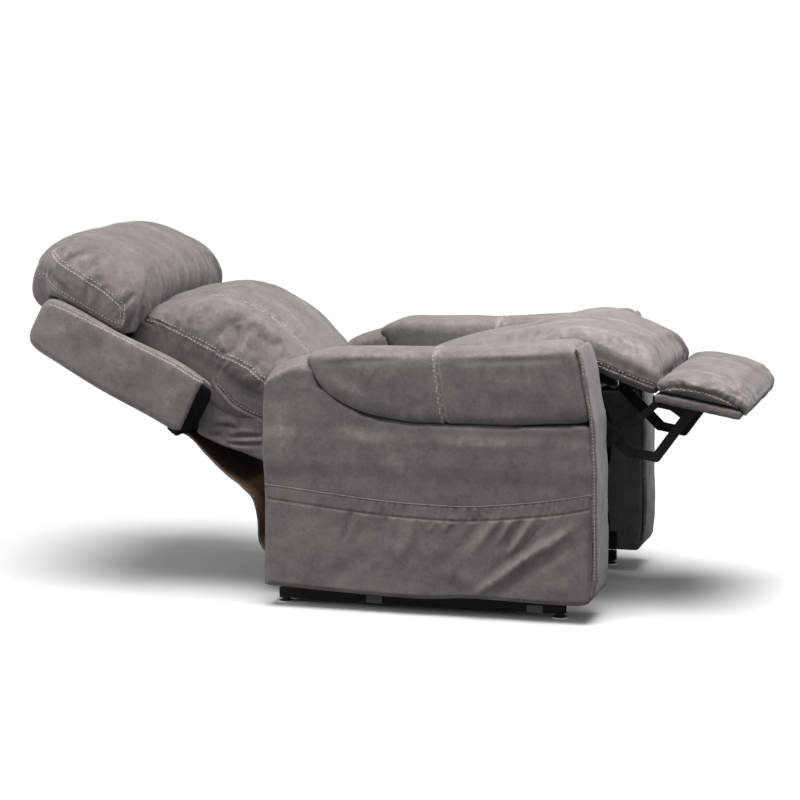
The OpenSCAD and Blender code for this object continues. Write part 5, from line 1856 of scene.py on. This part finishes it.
    def flap(self) -> None:
        """The loose cloth from the back's lower edge to the frame."""
        line = curve_through(np.array(self.flap_line, float), 6)
        line = evened(np.column_stack([line, np.zeros(len(line))]), 7.0)[:, :2]
        xs = np.linspace(-self.flap_width / 2, self.flap_width / 2, 84)
        run = np.concatenate([[0.0], np.cumsum(np.hypot(*np.diff(line, axis=0).T))])
        verts = []
        for i, p in enumerate(line):
            way = line[min(i + 1, len(line) - 1)] - line[max(i - 1, 0)]
            n = np.array([-way[1], way[0]]) / np.linalg.norm(way)
            loose = math.sin(math.pi * min(1.0, run[i] / run[-1])) ** 0.7
            for x in xs:
                broad = 5.0 * math.sin(x / 46.0 + 0.6 * math.sin(run[i] / 70.0))
                wave = broad + 3.0 * math.sin(x / 19.0 + run[i] / 55.0)
                verts.append(placed(x, tuple(p + n * (wave * 0.5 * loose + 1.5))))
        columns = len(xs)
        faces = [(i * columns + j, i * columns + j + 1, (i + 1) * columns + j + 1, (i + 1) * columns + j)
                 for i in range(len(line) - 1) for j in range(columns - 1)]
        obj = new_object("back_lower_flap", np.array(verts), faces)
        self.finishes.dress(obj, Slot.BACKING)
        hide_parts("back_flap")
        hem = self.flap_hem(np.array(verts).reshape(len(line), columns, 3))
        for part in (obj, hem):
            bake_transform(part)
        LOG.info("made: back_lower_flap")

    def flap_hem(self, cloth: np.ndarray) -> bpy.types.Object:
        """The rolled hems along both side edges of the flap.

        Args:
            cloth: the flap's points, by row and column.

        Returns:
            The hems as one piece.
        """
        verts, faces = [], []
        sides, half_width = 10, 4.6
        for column in (1, -2):
            path = cloth[:, column]
            start = len(verts)
            for i, p in enumerate(path):
                way = unit(path[min(i + 1, len(path) - 1)] - path[max(i - 1, 0)])
                across = np.cross(way, (1.0, 0.0, 0.0))
                thick = 2.3 + 0.5 * math.sin(i * 0.9)
                for k in range(sides):
                    a = 2 * math.pi * k / sides
                    wide = np.array((half_width * math.cos(a), 0.0, 0.0)) * MM
                    verts.append(p + wide + across * thick * math.sin(a) * MM)
            faces += [tuple(n + start for n in f) for f in ring_faces(len(path), sides)]
        obj = new_object("back_flap_hem", np.array(verts), faces)
        self.finishes.dress(obj, Slot.SUEDE)
        return obj


# ---------- frame parts and studio


@dataclass
class Frame:
    """The steel, timber and plastic parts, which keep their own shapes and get their finishes."""

    finishes: Finishes
    record: dict

    def build(self, nodes: dict[str, bpy.types.Object]) -> None:
        """Finishes every part that shows as it is.

        Args:
            nodes: the frame's parts by name.
        """
        by_name = {SLOT_NAMES[slot]: slot for slot in Slot if slot is not Slot.LINING_AND_SHADE}
        for part in self.record["subparts"]:
            self.finishes.dress(nodes[part["node"]], by_name[part["material_slot"]])
        LOG.info("finished: %d frame parts", len(nodes))


@dataclass(frozen=True)
class Lamp:
    """One light: its kind, its place, the way that it shines, its strength and its size."""

    name: str
    kind: str
    place: Point3
    way: Point3
    energy: float
    size: float

    def hang(self) -> None:
        """Adds it to the scene. A sun's size is its spread in degrees, and a panel's its side in metres."""
        lamp = bpy.data.lights.new(self.name, self.kind)
        lamp.energy = self.energy
        if self.kind == "SUN":
            lamp.angle = math.radians(self.size)
        else:
            lamp.size = self.size
        aimed(self.name, lamp, self.place, self.way)


def aimed(name: str, data: bpy.types.ID, place: Point3, way: Point3) -> bpy.types.Object:
    """Links a lamp or camera that points along a direction.

    Args:
        name: its name.
        data: the lamp's or camera's data.
        place: where it stands, in metres.
        way: the direction.

    Returns:
        The object.
    """
    obj = bpy.data.objects.new(name, data)
    obj.location = place
    obj.rotation_euler = Vector(way).to_track_quat("-Z", "Y").to_euler()
    bpy.context.scene.collection.objects.link(obj)
    return obj


@dataclass
class Studio:
    """A plain pale floor, soft light and the camera."""

    eye: Point3 = (-6.694, -1.839, 1.513)
    look: Point3 = (0.954, 0.261, -0.148)
    lens: float = 121.4
    surround: float = 0.42
    backdrop: float = 1.05
    floor_half: float = 60.0
    floor_seen: tuple[Colour, Colour] = ((0.50, 0.50, 0.50), (0.52, 0.52, 0.52))
    floor_bounce: Colour = (0.14, 0.14, 0.14)
    lamps: tuple[Lamp, ...] = (
        Lamp("soft_above", "SUN", (0.0, 0.0, 4.0), (0.22, 0.06, -0.97), 5.0, 42.0),
        Lamp("soft_front", "SUN", (0.0, 0.0, 4.0), (0.35, 0.80, -0.45), 0.25, 30.0),
        Lamp("panel_over_legs", "AREA", (-0.15, -0.85, 1.95), (0.15, 0.5, -1.3), 30.0, 1.0),
        Lamp("panel_beside_back", "AREA", (-1.7, 2.1, 1.2), (1.35, -1.4, -0.45), 27.0, 0.9))

    def build(self) -> None:
        """Sets the studio up."""
        self.floor()
        self.surroundings()
        for lamp in self.lamps:
            lamp.hang()
        scene = bpy.context.scene
        scene.view_settings.view_transform = "Standard"
        scene.view_settings.look = "None"
        self.camera()

    def floor(self) -> None:
        """A wide pale floor, which sends little light back up."""
        h = self.floor_half
        obj = new_object("studio_floor", np.array([(-h, -h, 0), (h, -h, 0), (h, h, 0), (-h, h, 0)]), [(0, 1, 2, 3)])
        bench = MaterialBench("pale_floor")
        clouds = bench.group(clouds_group(), Scale=0.7).outputs["Mask"]
        path = bench.tree.nodes.new("ShaderNodeLightPath")
        shown = bench.mix(clouds, *self.floor_seen)
        bench.feed("Base Color", bench.mix(path.outputs["Is Camera Ray"], self.floor_bounce, shown))
        bench.shader.inputs["Roughness"].default_value = 0.9
        obj.data.materials.append(bench.material)

    def surroundings(self) -> None:
        """A white world that lights softly and shows brighter than it lights."""
        world = bpy.data.worlds.new("studio_world")
        bpy.context.scene.world = world
        world.use_nodes = True
        tree = world.node_tree
        ambient, backdrop = tree.nodes["Background"], tree.nodes.new("ShaderNodeBackground")
        for node, strength in ((ambient, self.surround), (backdrop, self.backdrop)):
            node.inputs["Color"].default_value = (1.0, 1.0, 1.0, 1.0)
            node.inputs["Strength"].default_value = strength
        path = tree.nodes.new("ShaderNodeLightPath")
        mixed = tree.nodes.new("ShaderNodeMixShader")
        tree.links.new(path.outputs["Is Camera Ray"], mixed.inputs[0])
        tree.links.new(ambient.outputs[0], mixed.inputs[1])
        tree.links.new(backdrop.outputs[0], mixed.inputs[2])
        tree.links.new(mixed.outputs[0], tree.nodes["World Output"].inputs["Surface"])

    def camera(self) -> None:
        """The camera, a little above the arm and ahead of the near side."""
        data = bpy.data.cameras.new("camera")
        data.lens = self.lens
        data.sensor_width = 36.0
        data.clip_end = 200.0
        bpy.context.scene.camera = aimed("camera", data, self.eye, self.look)


def main() -> None:
    logging.basicConfig(level=logging.INFO, format="%(name)s: %(message)s")
    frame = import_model()
    finishes = Finishes()
    Frame(finishes, frame["record"]).build(frame["nodes"])
    for side in Side:
        ArmRest(finishes, side).build()
    SeatUnit(finishes).build()
    FootRest(finishes).build()
    Backrest(finishes).build()
    Studio().build()


if __name__ == "__main__":
    main()
